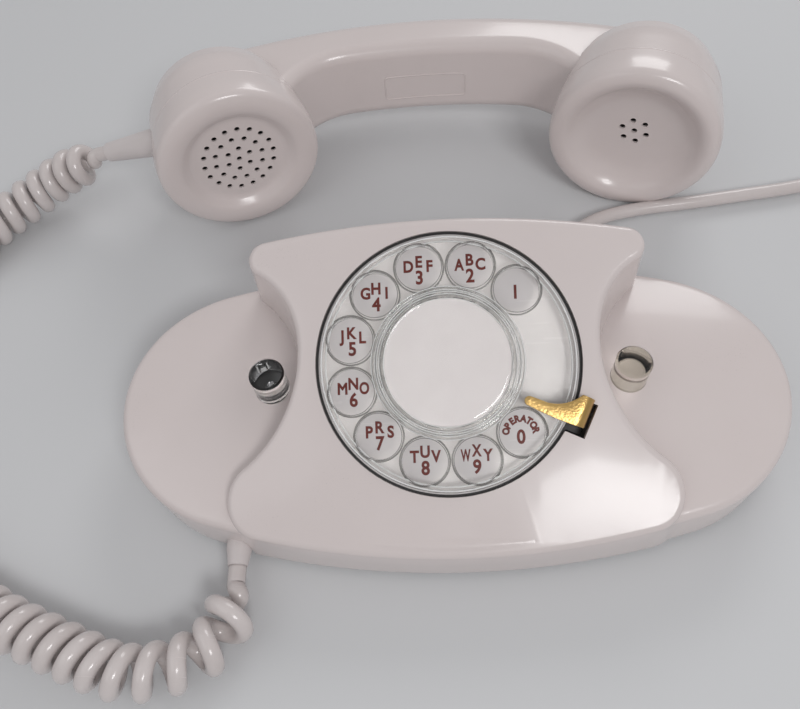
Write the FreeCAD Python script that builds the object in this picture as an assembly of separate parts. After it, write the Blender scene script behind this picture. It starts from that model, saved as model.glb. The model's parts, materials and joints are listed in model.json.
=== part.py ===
"""Rotary desk telephone with a low oval base, a tilted dial and a separate handset.

Units are millimetres.  The origin is the centre of the base's foot on the table, +Z is up and +Y points
away from the user, so the dial leans towards -Y.  Each piece is one STEP file in parts/.
"""

import FreeCAD
import Part

import math
import os

from FreeCAD import Placement, Rotation, Vector

# ---- base ----------------------------------------------------------------------------------------
BASE_LENGTH = 210.0
BASE_DEPTH = 101.0
BASE_END_RADIUS = 42.0
WALL = 2.6
HOUSING_BOTTOM = 2.6
WING_TOP = 28.0
WING_LENGTH_CROWN = 2350.0
WING_DEPTH_CROWN = 230.0
WING_EDGE_ROUND = 3.0
PLATE_THICKNESS = 1.2
PLATE_CLEARANCE = 0.3
FOOT_HEIGHT = 3.0
FOOT_WIDTH = 7.0
FOOT_INSET = 9.4

# ---- raised middle that carries the dial ---------------------------------------------------------
DIAL_TILT = 24.6
DIAL_Y = -0.4
DIAL_Z = 44.4
WAIST_HALF = 44.5
WAIST_Y = 3.8
SIDE_DRAFT = 0.14
FRONT_PROUD = 1.2
FRONT_CORNER_X = 53.0
FRONT_CORNER_RADIUS = 11.0
BACK_CORNER_X = 53.0
BACK_CORNER_Y = 29.5
BACK_CORNER_RADIUS = 5.5
BACK_MIDDLE_Y = 40.0
BACK_LEAN = 0.28
BACK_LEVEL = 60.0
SADDLE_EDGE_ROUND = 2.2

# ---- dial, measured from the plane of the housing's sloping top ----------------------------------
OPENING_RADIUS = 39.2
WHEEL_RADIUS = 37.6
WHEEL_TOP = 0.8
WHEEL_THICKNESS = 2.2
WHEEL_RIM_DEPTH = 3.8
FINGER_HOLES = 10
FINGER_HOLE_RADIUS = 6.75
FINGER_PITCH_RADIUS = 29.6
FINGER_FIRST_ANGLE = 45.0
FINGER_STEP = 30.0
COLLAR_WALL = 0.85
COLLAR_DEPTH = 2.0
CARD_RADIUS = 19.0
CARD_THICKNESS = 0.3
RETAINER_RADIUS = 23.4
RETAINER_HEIGHT = 1.6
NUMBER_PLATE_TOP = -5.0
NUMBER_PLATE_THICKNESS = 1.2
NUMBER_PLATE_RADIUS = 38.9
NUMBER_PLATE_RIM = 0.8
FRAME_THICKNESS = 1.6
FRAME_RADIUS = 35.0
DIAL_LUG_RADIUS = 43.5
DIAL_LUG_ANGLES = (45.0, 135.0, 220.0, 320.0)
SHAFT_RADIUS = 3.0
SHAFT_CLEARANCE = 0.06
SHAFT_DEPTH = 22.0
GEAR_TOP = -9.8
GEAR_THICKNESS = 1.4
GEAR_TEETH = 48
GEAR_PITCH_RADIUS = 19.0
PINION_TEETH = 12
PINION_ANGLE = 20.0
GOVERNOR_TEETH = 8
GOVERNOR_ANGLE = 150.0
SPINDLE_RADIUS = 1.2
STOP_ANGLE = -24.5
STOP_INNER_RADIUS = 24.4
STOP_OUTER_RADIUS = 43.4
STOP_HEIGHT = 2.4
STOP_THICKNESS = 1.1
STOP_BEND_RADIUS = 3.4
STOP_FLARE = 6.2
STOP_FLARE_LENGTH = 4.2
STOP_CLEARANCE = 0.3
STOP_LEG_SIDE = 4.9

# ---- plungers and hook lever ---------------------------------------------------------------------
PLUNGER_X = 55.7
PLUNGER_Y = 1.7
PLUNGER_RADIUS = 5.5
PLUNGER_TOP = 37.4
PLUNGER_TRAVEL = 8.0
PLUNGER_CLEARANCE = 0.08
PLUNGER_FLANGE_RADIUS = 7.5
PLUNGER_FLANGE = 1.5
PLUNGER_STEM_RADIUS = 2.0
PLUNGER_STEM = 5.0
RUNNING_GAP = 0.4
LEVER_LENGTH = 30.0
LEVER_ROLLER = 1.5
LEVER_PIN_RADIUS = 1.5
LEVER_THICKNESS = 1.5
LEVER_ARM_WIDTH = 4.0
BRACKET_X = 46.0

# ---- handset -------------------------------------------------------------------------------------
HANDSET_X = -2.3
HANDSET_Y = 93.0
HANDSET_TILT = -5.0
CAP_OFFSET = 71.3
CAP_RADIUS = 30.5
CAP_DEPTH = 13.0
CAP_WALL = 2.6
RECEIVER_TILT = 16.0
TRANSMITTER_TILT = 20.0
CUP_DEPTH = 30.0
HANDLE_REACH = 64.0
HANDLE_THICKNESS = 21.0
HANDLE_WIDTH = 31.0
CAPSULE_RADIUS = 24.5
CAPSULE_DEPTH = 12.0

# ---- cords ---------------------------------------------------------------------------------------
CURL_WIRE = 5.6
CURL_OUTER = 17.0
LINE_CORD = 5.2

MOUTH_HOLE_RADIUS = 0.8
MOUTH_HOLE_RINGS = ((0.0, 1), (4.6, 6), (9.0, 12), (13.2, 18))
EAR_HOLE_RADIUS = 1.2
EAR_HOLE_RINGS = ((0.0, 1), (4.6, 6))


# ---- basic shapes --------------------------------------------------------------------------------
def disc(radius, low, high, x=0.0, y=0.0):
    """Upright cylinder between two heights."""
    return Part.makeCylinder(radius, high - low, Vector(x, y, low))


def ring(outer, inner, low, high, x=0.0, y=0.0):
    """Upright tube between two heights."""
    return disc(outer, low, high, x, y).cut(disc(inner, low - 1.0, high + 1.0, x, y))


def prism(sides, radius, low, high, x=0.0, y=0.0):
    """Upright regular prism, measured across its corners."""
    corners = [Vector(x, y, 0) + around(radius, 360.0 * i / sides, low) for i in range(sides)]
    return Part.Face(Part.makePolygon(corners + corners[:1])).extrude(Vector(0, 0, high - low))


def tube(sides, outer, inner, low, high, x=0.0, y=0.0):
    """Upright faceted tube."""
    bore = prism(sides, inner, low - 1.0, high + 1.0, x, y)
    return prism(sides, outer, low, high, x, y).cut(bore)


def block(x, y, z):
    """Box from three (low, high) pairs."""
    return Part.makeBox(x[1] - x[0], y[1] - y[0], z[1] - z[0], Vector(x[0], y[0], z[0]))


def around(radius, degrees, z=0.0):
    """Point on a circle round the local Z axis."""
    angle = math.radians(degrees)
    return Vector(radius * math.cos(angle), radius * math.sin(angle), z)


def fused(first, *others):
    """One solid made of several that touch or overlap."""
    return first.multiFuse(list(others)).removeSplitter()


def turned(points):
    """Solid of revolution about Z.

    Each (radius, height) is joined to the last by a line, and each (radius, height, radius, height) by
    an arc through the first pair to the second.
    """
    here = Vector(points[0][0], 0, points[0][1])
    edges = []
    for item in list(points[1:]) + [points[0]]:
        end = Vector(item[-2], 0, item[-1])
        if len(item) == 4:
            edges.append(arc(here, Vector(item[0], 0, item[1]), end))
        else:
            edges.append(Part.makeLine(here, end))
        here = end
    return Part.Face(Part.Wire(edges)).revolve(Vector(), Vector(0, 0, 1), 360.0)


def arc(start, middle, end):
    """Edge along the circle through three points."""
    return Part.Arc(start, middle, end).toShape()


def arc_leaving(start, direction, end):
    """Arc from a point, tangent to a direction there, to an end point."""
    chord = end - start
    across = direction - chord * (direction.dot(chord) / chord.dot(chord))
    turn = direction.getAngle(chord)
    middle = (start + end) * 0.5 + across.normalize() * (0.5 * chord.Length * math.tan(0.5 * turn))
    return arc(start, middle, end)


def arc_about(centre, radius, from_degrees, to_degrees, z):
    """Horizontal arc about a centre, in the order given."""
    mean = 0.5 * (from_degrees + to_degrees)
    ends = [centre + around(radius, a, z) for a in (from_degrees, mean, to_degrees)]
    return arc(*ends)


def save(node, *solids):
    """Write one node as STEP, a group of separate solids when there are several."""
    shape = solids[0] if len(solids) == 1 else Part.makeCompound(list(solids))
    shape.exportStep("parts/%s.step" % node)


# ---- places --------------------------------------------------------------------------------------
DIAL_PLACE = Placement(Vector(0, DIAL_Y, DIAL_Z), Rotation(Vector(1, 0, 0), DIAL_TILT))


def on_dial(shape):
    """Copy of a shape, moved from the dial's own frame to its place in the base."""
    copy = shape.copy()
    copy.Placement = DIAL_PLACE.multiply(copy.Placement)
    return copy


# ---- base outlines -------------------------------------------------------------------------------
def long_radius(inset):
    """Radius of the oval's front and back arcs, which meet its end arcs tangentially."""
    half_length = 0.5 * BASE_LENGTH - inset
    half_depth = 0.5 * BASE_DEPTH - inset
    end = BASE_END_RADIUS - inset
    reach = half_length - end
    return (reach ** 2 + half_depth ** 2 - end ** 2) / (2.0 * (half_depth - end))


def oval_prism(inset, low, high):
    """The base's oval outline, drawn in by an inset, between two heights."""
    end = BASE_END_RADIUS - inset
    reach = 0.5 * BASE_LENGTH - inset - end
    long_side = long_radius(inset)
    drop = long_side - (0.5 * BASE_DEPTH - inset)
    lean = math.degrees(math.atan2(reach, drop))
    edges = [
        arc_about(Vector(0, -drop, 0), long_side, 90.0 + lean, 90.0 - lean, low),
        arc_about(Vector(reach, 0, 0), end, 90.0 - lean, lean - 90.0, low),
        arc_about(Vector(0, drop, 0), long_side, lean - 90.0, -90.0 - lean, low),
        arc_about(Vector(-reach, 0, 0), end, 270.0 - lean, 90.0 + lean, low),
    ]
    return Part.Face(Part.Wire(edges)).extrude(Vector(0, 0, high - low))


def wing_body(inset):
    """Low oval body whose top is gently crowned both ways."""
    crown = Part.makeTorus(
        WING_LENGTH_CROWN - WING_DEPTH_CROWN,
        WING_DEPTH_CROWN,
        Vector(0, 0, WING_TOP - WING_LENGTH_CROWN - inset),
        Vector(0, 1, 0),
    )
    low = HOUSING_BOTTOM if inset == 0 else HOUSING_BOTTOM - 2.0
    return oval_prism(inset, low, WING_TOP + 5.0).common(crown)


def below_slope(depth):
    """Everything under the dial's plane, lowered by a depth."""
    size = 400.0
    slab = Part.makeBox(size, size, size, Vector(-size / 2, -size / 2, -size - depth))
    return on_dial(slab)


def tangent_waist(corner, corner_radius, waist_x):
    """Radius of the hollow side arc that starts square at the waist and touches a corner's circle."""
    rise = corner.y - WAIST_Y
    run = corner.x - waist_x
    return (run ** 2 + rise ** 2 - corner_radius ** 2) / (2.0 * (run + corner_radius))


def saddle_wire(z, inset):
    """Closed outline of the raised middle at one height: bowed front and back, hollow sides."""
    widen = SIDE_DRAFT * (BACK_LEVEL - 14.0 - z) - inset
    waist_x = WAIST_HALF + widen
    front_side = long_radius(-FRONT_PROUD) - inset
    front_centre = long_radius(0.0) - 0.5 * BASE_DEPTH
    front_radius = FRONT_CORNER_RADIUS - inset
    front_x = FRONT_CORNER_X + SIDE_DRAFT * (BACK_LEVEL - 14.0 - z)
    front_y = front_centre - math.sqrt((front_side - front_radius) ** 2 - front_x ** 2)
    front = Vector(front_x, front_y, 0)
    shift = BACK_LEAN * (BACK_LEVEL - z)
    back_radius = BACK_CORNER_RADIUS - inset
    back = Vector(BACK_CORNER_X + SIDE_DRAFT * (BACK_LEVEL - z), BACK_CORNER_Y + shift, 0)
    sagitta = BACK_MIDDLE_Y + shift - inset - back.y
    back_side = (back.x ** 2 + sagitta ** 2 - back_radius ** 2) / (2.0 * (sagitta - back_radius))
    rear = tangent_waist(back, back_radius, waist_x)
    fore = tangent_waist(front, front_radius, waist_x)
    rear_centre = Vector(waist_x + rear, WAIST_Y, 0)
    fore_centre = Vector(waist_x + fore, WAIST_Y, 0)
    back_centre = Vector(0, BACK_MIDDLE_Y + shift - inset - back_side, 0)

    def bearing(centre, point):
        return math.degrees(math.atan2(point.y - centre.y, point.x - centre.x))

    back_end = bearing(back_centre, back)
    rear_end = bearing(rear_centre, back) % 360.0
    fore_end = bearing(fore_centre, front) % 360.0
    front_end = bearing(Vector(0, front_centre, 0), front)
    right = [
        arc_about(back, back_radius, back_end, rear_end - 180.0, z),
        arc_about(rear_centre, rear, rear_end, 180.0, z),
        arc_about(fore_centre, fore, 180.0, fore_end, z),
        arc_about(front, front_radius, fore_end - 180.0, front_end, z),
    ]
    left = [edge.mirror(Vector(), Vector(1, 0, 0)) for edge in right]
    back_edge = arc_about(back_centre, back_side, 180.0 - back_end, back_end, z)
    front_edge = arc_about(Vector(0, front_centre, 0), front_side, front_end, -180.0 - front_end, z)
    return Part.Wire(Part.__sortEdges__([back_edge] + right + [front_edge] + left))


def saddle_body(inset):
    """Raised middle under the sloping dial plane, with drafted sides and a leaning back."""
    low = HOUSING_BOTTOM if inset == 0 else HOUSING_BOTTOM - 2.0
    tall = Part.makeLoft([saddle_wire(low, inset), saddle_wire(70.0, inset)], True, True)
    proud = long_radius(0.0) + FRONT_PROUD - inset
    centre_y = 0.5 * BASE_DEPTH - long_radius(0.0)
    limit = Part.makeCylinder(proud, 90.0, Vector(0, centre_y, -5.0))
    return tall.common(limit).common(below_slope(inset))


# ---- housing -------------------------------------------------------------------------------------
PLATE_BOTTOM = FOOT_HEIGHT
PLATE_TOP = PLATE_BOTTOM + PLATE_THICKNESS
POST_PLACES = ((0.0, -42.0), (-30.0, 40.2), (30.0, 40.2))
POST_RADIUS = 3.5
SCREW_RADIUS = 1.2
SCREW_CLEARANCE = 0.05
SCREW_REACH = 9.0
DIAL_LUG_POST = 3.4
FRAME_TOP = NUMBER_PLATE_TOP - NUMBER_PLATE_THICKNESS
FRAME_BOTTOM = FRAME_TOP - FRAME_THICKNESS
STOP_SLOT_WIDTH = 10.5
STOP_SLOT_OUTER = 44.8
HANDSET_EXIT = Vector(-67.2, -42.3, 6.8)
HANDSET_EXIT_HEADING = 270.0
LINE_EXIT = Vector(40.0, 47.6, 6.8)
LINE_EXIT_HEADING = 78.0
RELIEF_FLANGE = 1.4
RELIEF_RADIUS = 4.0
RELIEF_LENGTH = 7.0
RELIEF_INSIDE = 6.0


def wing_height(x, y):
    """Height of the wings' crowned top, near enough a paraboloid, before any wall is taken off."""
    return WING_TOP - x ** 2 / (2.0 * WING_LENGTH_CROWN) - y ** 2 / (2.0 * WING_DEPTH_CROWN)


def rod(start, direction, length, radius, end_radius=None):
    """Round rod, or a cone when the end radius is given."""
    if end_radius is None:
        return Part.makeCylinder(radius, length, start, direction)
    return Part.makeCone(radius, end_radius, length, start, direction)


def meets(shape, first, second):
    """Edges where a face of one surface kind meets a face of another, above the lowest rim."""
    found = []
    for edge in shape.Edges:
        faces = shape.ancestorsOfType(edge, Part.Face)
        kinds = sorted(type(face.Surface).__name__ for face in faces)
        if kinds == [first, second] and edge.BoundBox.ZMin > HOUSING_BOTTOM + 5.0:
            found.append(edge)
    return found


def slope_edges(shape):
    """Edges round the sloping top face."""
    normal = DIAL_PLACE.Rotation.multVec(Vector(0, 0, 1))
    flat = [f for f in shape.Faces if isinstance(f.Surface, Part.Plane)]
    top = [f for f in flat if abs(f.Surface.Axis.dot(normal)) > 0.999]
    return top[0].OuterWire.Edges


def dial_bar(radius_in, radius_out, degrees, half_width, low, high):
    """Radial bar on the dial, between two radii."""
    bar = block((radius_in, radius_out), (-half_width, half_width), (low, high))
    bar.rotate(Vector(), Vector(0, 0, 1), degrees)
    return bar


def outer_shape():
    """Housing before it is hollowed: oval wings and the raised middle, edges rounded."""
    wings = wing_body(0.0)
    wings = wings.makeFillet(WING_EDGE_ROUND, meets(wings, "Cylinder", "Toroid"))
    saddle = saddle_body(0.0)
    saddle = saddle.makeFillet(SADDLE_EDGE_ROUND, slope_edges(saddle))
    return wings.fuse(saddle)


def cord_notch(point, heading):
    """Notch through the wall at a cord's exit, open at the bottom."""
    away = around(1.0, heading)
    radius = RELIEF_RADIUS + SCREW_CLEARANCE
    bore = rod(point - away * RELIEF_INSIDE, away, 2.0 * RELIEF_INSIDE, radius)
    slot = block((-RELIEF_INSIDE, RELIEF_INSIDE), (-radius, radius), (-point.z, 0.0))
    slot.rotate(Vector(), Vector(0, 0, 1), heading)
    slot.translate(point)
    return bore.fuse(slot)


def cord_notches():
    """Both cords' notches, cut alike in the housing and in the base plate."""
    return [cord_notch(HANDSET_EXIT, HANDSET_EXIT_HEADING), cord_notch(LINE_EXIT, LINE_EXIT_HEADING)]


def make_housing():
    """Moulded shell with posts for the base plate and for the dial."""
    outer = outer_shape()
    hollow = wing_body(WALL).fuse(saddle_body(WALL))
    shell = outer.cut(hollow)
    posts = [disc(POST_RADIUS, PLATE_TOP, 70.0, x, y).common(outer) for x, y in POST_PLACES]
    for degrees in DIAL_LUG_ANGLES:
        spot = around(DIAL_LUG_RADIUS, degrees)
        posts.append(on_dial(disc(DIAL_LUG_POST, FRAME_TOP, -1.0, spot.x, spot.y)))
    shell = shell.multiFuse(posts)
    cuts = [on_dial(disc(OPENING_RADIUS, FRAME_TOP - 2.0, 8.0))]
    cuts.append(
        on_dial(dial_bar(30.0, STOP_SLOT_OUTER, STOP_ANGLE, STOP_SLOT_WIDTH / 2, FRAME_TOP, 8.0))
    )
    for side in (-1, 1):
        hole = PLUNGER_RADIUS + PLUNGER_CLEARANCE
        cuts.append(disc(hole, PLATE_TOP, PLUNGER_TOP, side * PLUNGER_X, PLUNGER_Y))
    screw_hole = SCREW_RADIUS + SCREW_CLEARANCE
    for x, y in POST_PLACES:
        cuts.append(disc(screw_hole, PLATE_TOP - 1.0, PLATE_TOP + SCREW_REACH, x, y))
    for degrees in DIAL_LUG_ANGLES:
        spot = around(DIAL_LUG_RADIUS, degrees)
        cuts.append(on_dial(disc(screw_hole, FRAME_TOP - 1.0, FRAME_TOP + 4.0, spot.x, spot.y)))
    return shell.cut(cuts + cord_notches())


# ---- underside -----------------------------------------------------------------------------------
def make_base_plate():
    """Steel plate that closes the housing from below."""
    plate = oval_prism(WALL + PLATE_CLEARANCE, PLATE_BOTTOM, PLATE_TOP)
    hole = SCREW_RADIUS + SCREW_CLEARANCE
    holes = [disc(hole, PLATE_BOTTOM - 1.0, PLATE_TOP + 1.0, x, y) for x, y in POST_PLACES]
    return plate.cut(holes + cord_notches())


def make_foot_ring():
    """Oval rubber ring under the plate; its underside is the face that stands on the table."""
    outer = oval_prism(FOOT_INSET + WALL, 0.0, PLATE_BOTTOM)
    return outer.cut(oval_prism(FOOT_INSET + WALL + FOOT_WIDTH, -1.0, PLATE_BOTTOM + 1.0))


def make_relief(point, heading):
    """Rubber strain relief: a flange inside the wall, a plug through it and a tapered snout."""
    away = around(1.0, heading)
    wall_inside = -RELIEF_INSIDE + RELIEF_FLANGE
    half = RELIEF_RADIUS + 1.2
    flange = block((-RELIEF_INSIDE, -RELIEF_INSIDE + RELIEF_FLANGE), (-half, half), (-half, half))
    flange.rotate(Vector(), Vector(0, 0, 1), heading)
    flange.translate(point)
    flange = flange.cut(oval_prism(0.0, 0.0, PLATE_TOP + SCREW_CLEARANCE))
    plug = rod(point + away * wall_inside, away, -wall_inside + 1.5, RELIEF_RADIUS)
    snout = rod(point + away * 1.5, away, RELIEF_LENGTH - 1.5, RELIEF_RADIUS, RELIEF_RADIUS - 0.9)
    return fused(plug, snout, flange)


def pan_screw(x, y, under_head, reach, head_radius=2.4, head_height=1.3):
    """Pan-head screw driven upwards."""
    head = prism(8, head_radius, under_head - head_height, under_head, x, y)
    return head.fuse(prism(8, SCREW_RADIUS, under_head, under_head + reach, x, y))


def make_base_screws():
    """Screws through the plate into the housing's posts."""
    return [pan_screw(x, y, PLATE_BOTTOM, PLATE_THICKNESS + SCREW_REACH - 1.0) for x, y in POST_PLACES]


def make_counterweight():
    """Cast weight in the left wing that keeps the light set from sliding."""
    body = oval_prism(WALL + 3.0, PLATE_TOP, PLATE_TOP + 10.0)
    return body.common(block((-110.0, -67.0), (-32.0, 60.0), (0.0, 60.0)))


# ---- plungers and hook lever ---------------------------------------------------------------------
FLANGE_TOP = wing_height(PLUNGER_X, PLUNGER_Y) - WALL - RUNNING_GAP
FLANGE_BOTTOM = FLANGE_TOP - PLUNGER_FLANGE
STEM_BOTTOM = FLANGE_BOTTOM - PLUNGER_STEM
LEVER_Z = STEM_BOTTOM - RUNNING_GAP - LEVER_ROLLER
LEVER_Y = PLUNGER_Y + LEVER_LENGTH


def make_plunger(side):
    """Clear push-button that the handset presses down."""
    button = turned([
        (0.0, FLANGE_TOP - 0.5),
        (PLUNGER_RADIUS, FLANGE_TOP - 0.5),
        (PLUNGER_RADIUS, PLUNGER_TOP - 0.6),
        (PLUNGER_RADIUS - 0.6, PLUNGER_TOP),
        (0.0, PLUNGER_TOP),
    ])
    flange = prism(12, PLUNGER_FLANGE_RADIUS, FLANGE_BOTTOM, FLANGE_TOP)
    body = fused(button, flange, prism(8, PLUNGER_STEM_RADIUS, STEM_BOTTOM, FLANGE_BOTTOM))
    body.translate(Vector(side * PLUNGER_X, PLUNGER_Y, 0))
    return body


def make_hook_lever():
    """Steel bail: a cross shaft with an arm and a roller under each plunger."""
    outer_x = PLUNGER_X + LEVER_ARM_WIDTH / 2
    across = Vector(1, 0, 0)
    shaft = rod(Vector(-outer_x, LEVER_Y, LEVER_Z), across, 2.0 * outer_x, LEVER_PIN_RADIUS)
    pieces = []
    for side in (-1, 1):
        low_x = side * PLUNGER_X - LEVER_ARM_WIDTH / 2
        span = (low_x, low_x + LEVER_ARM_WIDTH)
        half = LEVER_THICKNESS / 2
        pieces.append(block(span, (PLUNGER_Y, LEVER_Y), (LEVER_Z - half, LEVER_Z + half)))
        roller = rod(Vector(low_x, PLUNGER_Y, LEVER_Z), across, LEVER_ARM_WIDTH, LEVER_ROLLER)
        pieces.append(roller)
    tab = block((-3.0, 3.0), (LEVER_Y - 0.6, LEVER_Y + 0.6), (LEVER_Z - 7.0, LEVER_Z))
    return fused(shaft, tab, *pieces)


def make_lever_brackets():
    """Two ears on the base plate that carry the hook lever's shaft."""
    ears = []
    for side in (-1, 1):
        near, far = side * BRACKET_X, side * (BRACKET_X - 7.0)
        wall = sorted((near, near - side * 2.0))
        foot = sorted((near, far))
        ear = block(wall, (LEVER_Y - 4.5, LEVER_Y + 4.5), (PLATE_TOP, LEVER_Z + 4.0))
        flange = block(foot, (LEVER_Y - 4.5, LEVER_Y + 4.5), (PLATE_TOP, PLATE_TOP + 1.6))
        start = Vector(wall[0] - 1.0, LEVER_Y, LEVER_Z)
        hole = rod(start, Vector(1, 0, 0), 4.0, LEVER_PIN_RADIUS + SHAFT_CLEARANCE)
        ears.append(ear.fuse(flange).removeSplitter().cut(hole))
    return ears


def make_hook_switch():
    """Insulating block with leaf contacts that the lever's tab works."""
    y_front = LEVER_Y - 10.0
    body = block((-13.0, 13.0), (y_front, y_front + 6.0), (PLATE_TOP, PLATE_TOP + 6.0))
    leaves = []
    for place in (2.2, 5.0):
        y = y_front + place
        leaves.append(block((-9.0, 9.0), (y, y + 0.4), (PLATE_TOP + 5.0, LEVER_Z - 2.0)))
    return fused(body, *leaves)


# ---- electrical pieces on the plate --------------------------------------------------------------
NETWORK_X = (-46.0, -6.0)
NETWORK_Y = (-35.0, 2.0)
NETWORK_HEIGHT = 12.0
GONG_X = 80.0
GONG_Y = 4.0
GONG_RADIUS = 15.0
GONG_RIM_Z = 9.5
GONG_HEIGHT = 8.5
GONG_WALL = 1.2
GONG_POST = 2.4
CLAPPER_X = 65.0
CLAPPER_Y = -22.0
CLAPPER_SWING = 4.0
CLAPPER_BALL = 2.2
CLAPPER_GAP = 1.2
CLAPPER_Z = 11.0
COIL_RADIUS = 5.0


def make_network():
    """Potted speech network with two rows of screw terminals."""
    can = block(NETWORK_X, NETWORK_Y, (PLATE_TOP, PLATE_TOP + NETWORK_HEIGHT))
    can = can.makeFillet(3.0, [e for e in can.Edges if abs(e.tangentAt(0).z) > 0.9])
    top = PLATE_TOP + NETWORK_HEIGHT
    terminals = []
    for row in (NETWORK_Y[0] + 5.0, NETWORK_Y[1] - 5.0):
        for i in range(4):
            x = NETWORK_X[0] + 5.0 + 10.0 * i
            terminals.append(prism(6, 2.2, top, top + 1.4, x, row))
    return can, terminals


def make_ringer():
    """Ringer frame, coil, gong on its post, and the clapper beside the gong's rim."""
    tall = GONG_RIM_Z + GONG_HEIGHT
    foot = block((CLAPPER_X - 4.0, CLAPPER_X + 22.0), (-29.0, -16.5), (PLATE_TOP, PLATE_TOP + 1.4))
    pin_low = PLATE_TOP + 1.0
    pin = disc(SPINDLE_RADIUS, pin_low, CLAPPER_Z + 4.0, CLAPPER_X, CLAPPER_Y)
    step = prism(6, 2.4, pin_low, CLAPPER_Z - 2.0, CLAPPER_X, CLAPPER_Y)
    cheeks = []
    for x in (CLAPPER_X + 5.0, CLAPPER_X + 20.0):
        cheeks.append(block((x, x + 1.4), (-28.0, -17.0), (PLATE_TOP, PLATE_TOP + 13.0)))
    frame = fused(foot, pin, step, *cheeks)
    coil = rod(Vector(CLAPPER_X + 6.4, -22.5, PLATE_TOP + 7.0), Vector(1, 0, 0), 13.6, COIL_RADIUS)

    top = tall
    bell = ring(GONG_RADIUS, GONG_RADIUS - GONG_WALL, GONG_RIM_Z, tall - 0.5)
    bell = fused(bell, disc(GONG_RADIUS, tall - GONG_WALL, tall)).cut(disc(GONG_POST, 0.0, tall + 1.0))
    bell.translate(Vector(GONG_X, GONG_Y, 0))
    post = prism(6, GONG_POST + 1.4, PLATE_TOP, tall - GONG_WALL)
    post = fused(post, disc(GONG_POST, PLATE_TOP, tall), prism(6, GONG_POST + 1.6, tall, tall + 1.4))
    post.translate(Vector(GONG_X, GONG_Y, 0))

    reach = GONG_RADIUS + CLAPPER_GAP + CLAPPER_BALL
    toward = Vector(CLAPPER_X - GONG_X, CLAPPER_Y - GONG_Y, 0).normalize()
    toward = Rotation(Vector(0, 0, 1), -8.0).multVec(toward)
    ball_at = Vector(GONG_X, GONG_Y, CLAPPER_Z) + toward * reach
    half = CLAPPER_BALL - 0.4
    ball = prism(8, CLAPPER_BALL, CLAPPER_Z - half, CLAPPER_Z + half, ball_at.x, ball_at.y)
    pivot = Vector(CLAPPER_X, CLAPPER_Y, CLAPPER_Z)
    arm = rod(pivot, ball_at - pivot, (ball_at - pivot).Length, 0.8)
    hub = disc(2.8, CLAPPER_Z - 1.8, CLAPPER_Z + 1.8, CLAPPER_X, CLAPPER_Y)
    bore = disc(SPINDLE_RADIUS + SHAFT_CLEARANCE, CLAPPER_Z - 3.0, CLAPPER_Z + 3.0, CLAPPER_X, CLAPPER_Y)
    clapper = fused(hub, arm, ball).cut(bore)
    return frame, coil, bell, post, clapper


# ---- dial ----------------------------------------------------------------------------------------
def make_number_plate():
    """White dish under the finger wheel that carries the numbers."""
    rim_inner = NUMBER_PLATE_RADIUS - NUMBER_PLATE_RIM
    plate = turned([
        (SHAFT_RADIUS + 1.0, FRAME_TOP),
        (NUMBER_PLATE_RADIUS, FRAME_TOP),
        (NUMBER_PLATE_RADIUS, -1.6),
        (rim_inner, -1.6),
        (rim_inner, NUMBER_PLATE_TOP),
        (SHAFT_RADIUS + 1.0, NUMBER_PLATE_TOP),
    ])
    slot = dial_bar(30.0, 45.0, STOP_ANGLE, STOP_SLOT_WIDTH / 2 - 1.0, NUMBER_PLATE_TOP + 1.0, 2.0)
    return on_dial(plate.cut(slot))


def wheel_profile():
    """Section of the finger wheel: a flat web, a turned-down rim and a centre boss."""
    web_bottom = WHEEL_TOP - WHEEL_THICKNESS
    rim_bottom = WHEEL_TOP - WHEEL_RIM_DEPTH
    boss_bottom = NUMBER_PLATE_TOP + 0.6
    return [
        (0.0, boss_bottom),
        (6.0, boss_bottom),
        (6.0, web_bottom),
        (WHEEL_RADIUS - 1.2, web_bottom),
        (WHEEL_RADIUS - 1.2, rim_bottom),
        (WHEEL_RADIUS, rim_bottom),
        (WHEEL_RADIUS, WHEEL_TOP - 0.5),
        (WHEEL_RADIUS - 0.6, WHEEL_TOP),
        (0.0, WHEEL_TOP),
    ]


def make_finger_wheel():
    """Clear wheel with ten finger holes, each with a collar below it."""
    web_bottom = WHEEL_TOP - WHEEL_THICKNESS
    wheel = turned(wheel_profile())
    collars = []
    holes = []
    for i in range(FINGER_HOLES):
        spot = around(FINGER_PITCH_RADIUS, FINGER_FIRST_ANGLE + FINGER_STEP * i)
        outer = FINGER_HOLE_RADIUS + COLLAR_WALL
        collars.append(disc(outer, web_bottom - COLLAR_DEPTH, web_bottom + 0.5, spot.x, spot.y))
        holes.append(disc(FINGER_HOLE_RADIUS, -10.0, 5.0, spot.x, spot.y))
    return on_dial(wheel.multiFuse(collars).cut(holes))


def make_card():
    """Round card at the middle of the wheel."""
    return on_dial(disc(CARD_RADIUS, WHEEL_TOP, WHEEL_TOP + CARD_THICKNESS))


def make_card_retainer():
    """Clear cover with a stepped ring that holds the card."""
    under = WHEEL_TOP + CARD_THICKNESS
    top = WHEEL_TOP + RETAINER_HEIGHT
    cover = turned([
        (0.0, under + 0.1),
        (CARD_RADIUS + 0.3, under + 0.1),
        (CARD_RADIUS + 0.3, WHEEL_TOP),
        (RETAINER_RADIUS, WHEEL_TOP),
        (RETAINER_RADIUS, WHEEL_TOP + 0.8),
        (RETAINER_RADIUS - 1.2, top),
        (RETAINER_RADIUS - 2.8, top),
        (RETAINER_RADIUS - 3.6, top - 0.5),
        (0.0, top - 0.3),
    ])
    return on_dial(cover)


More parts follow.
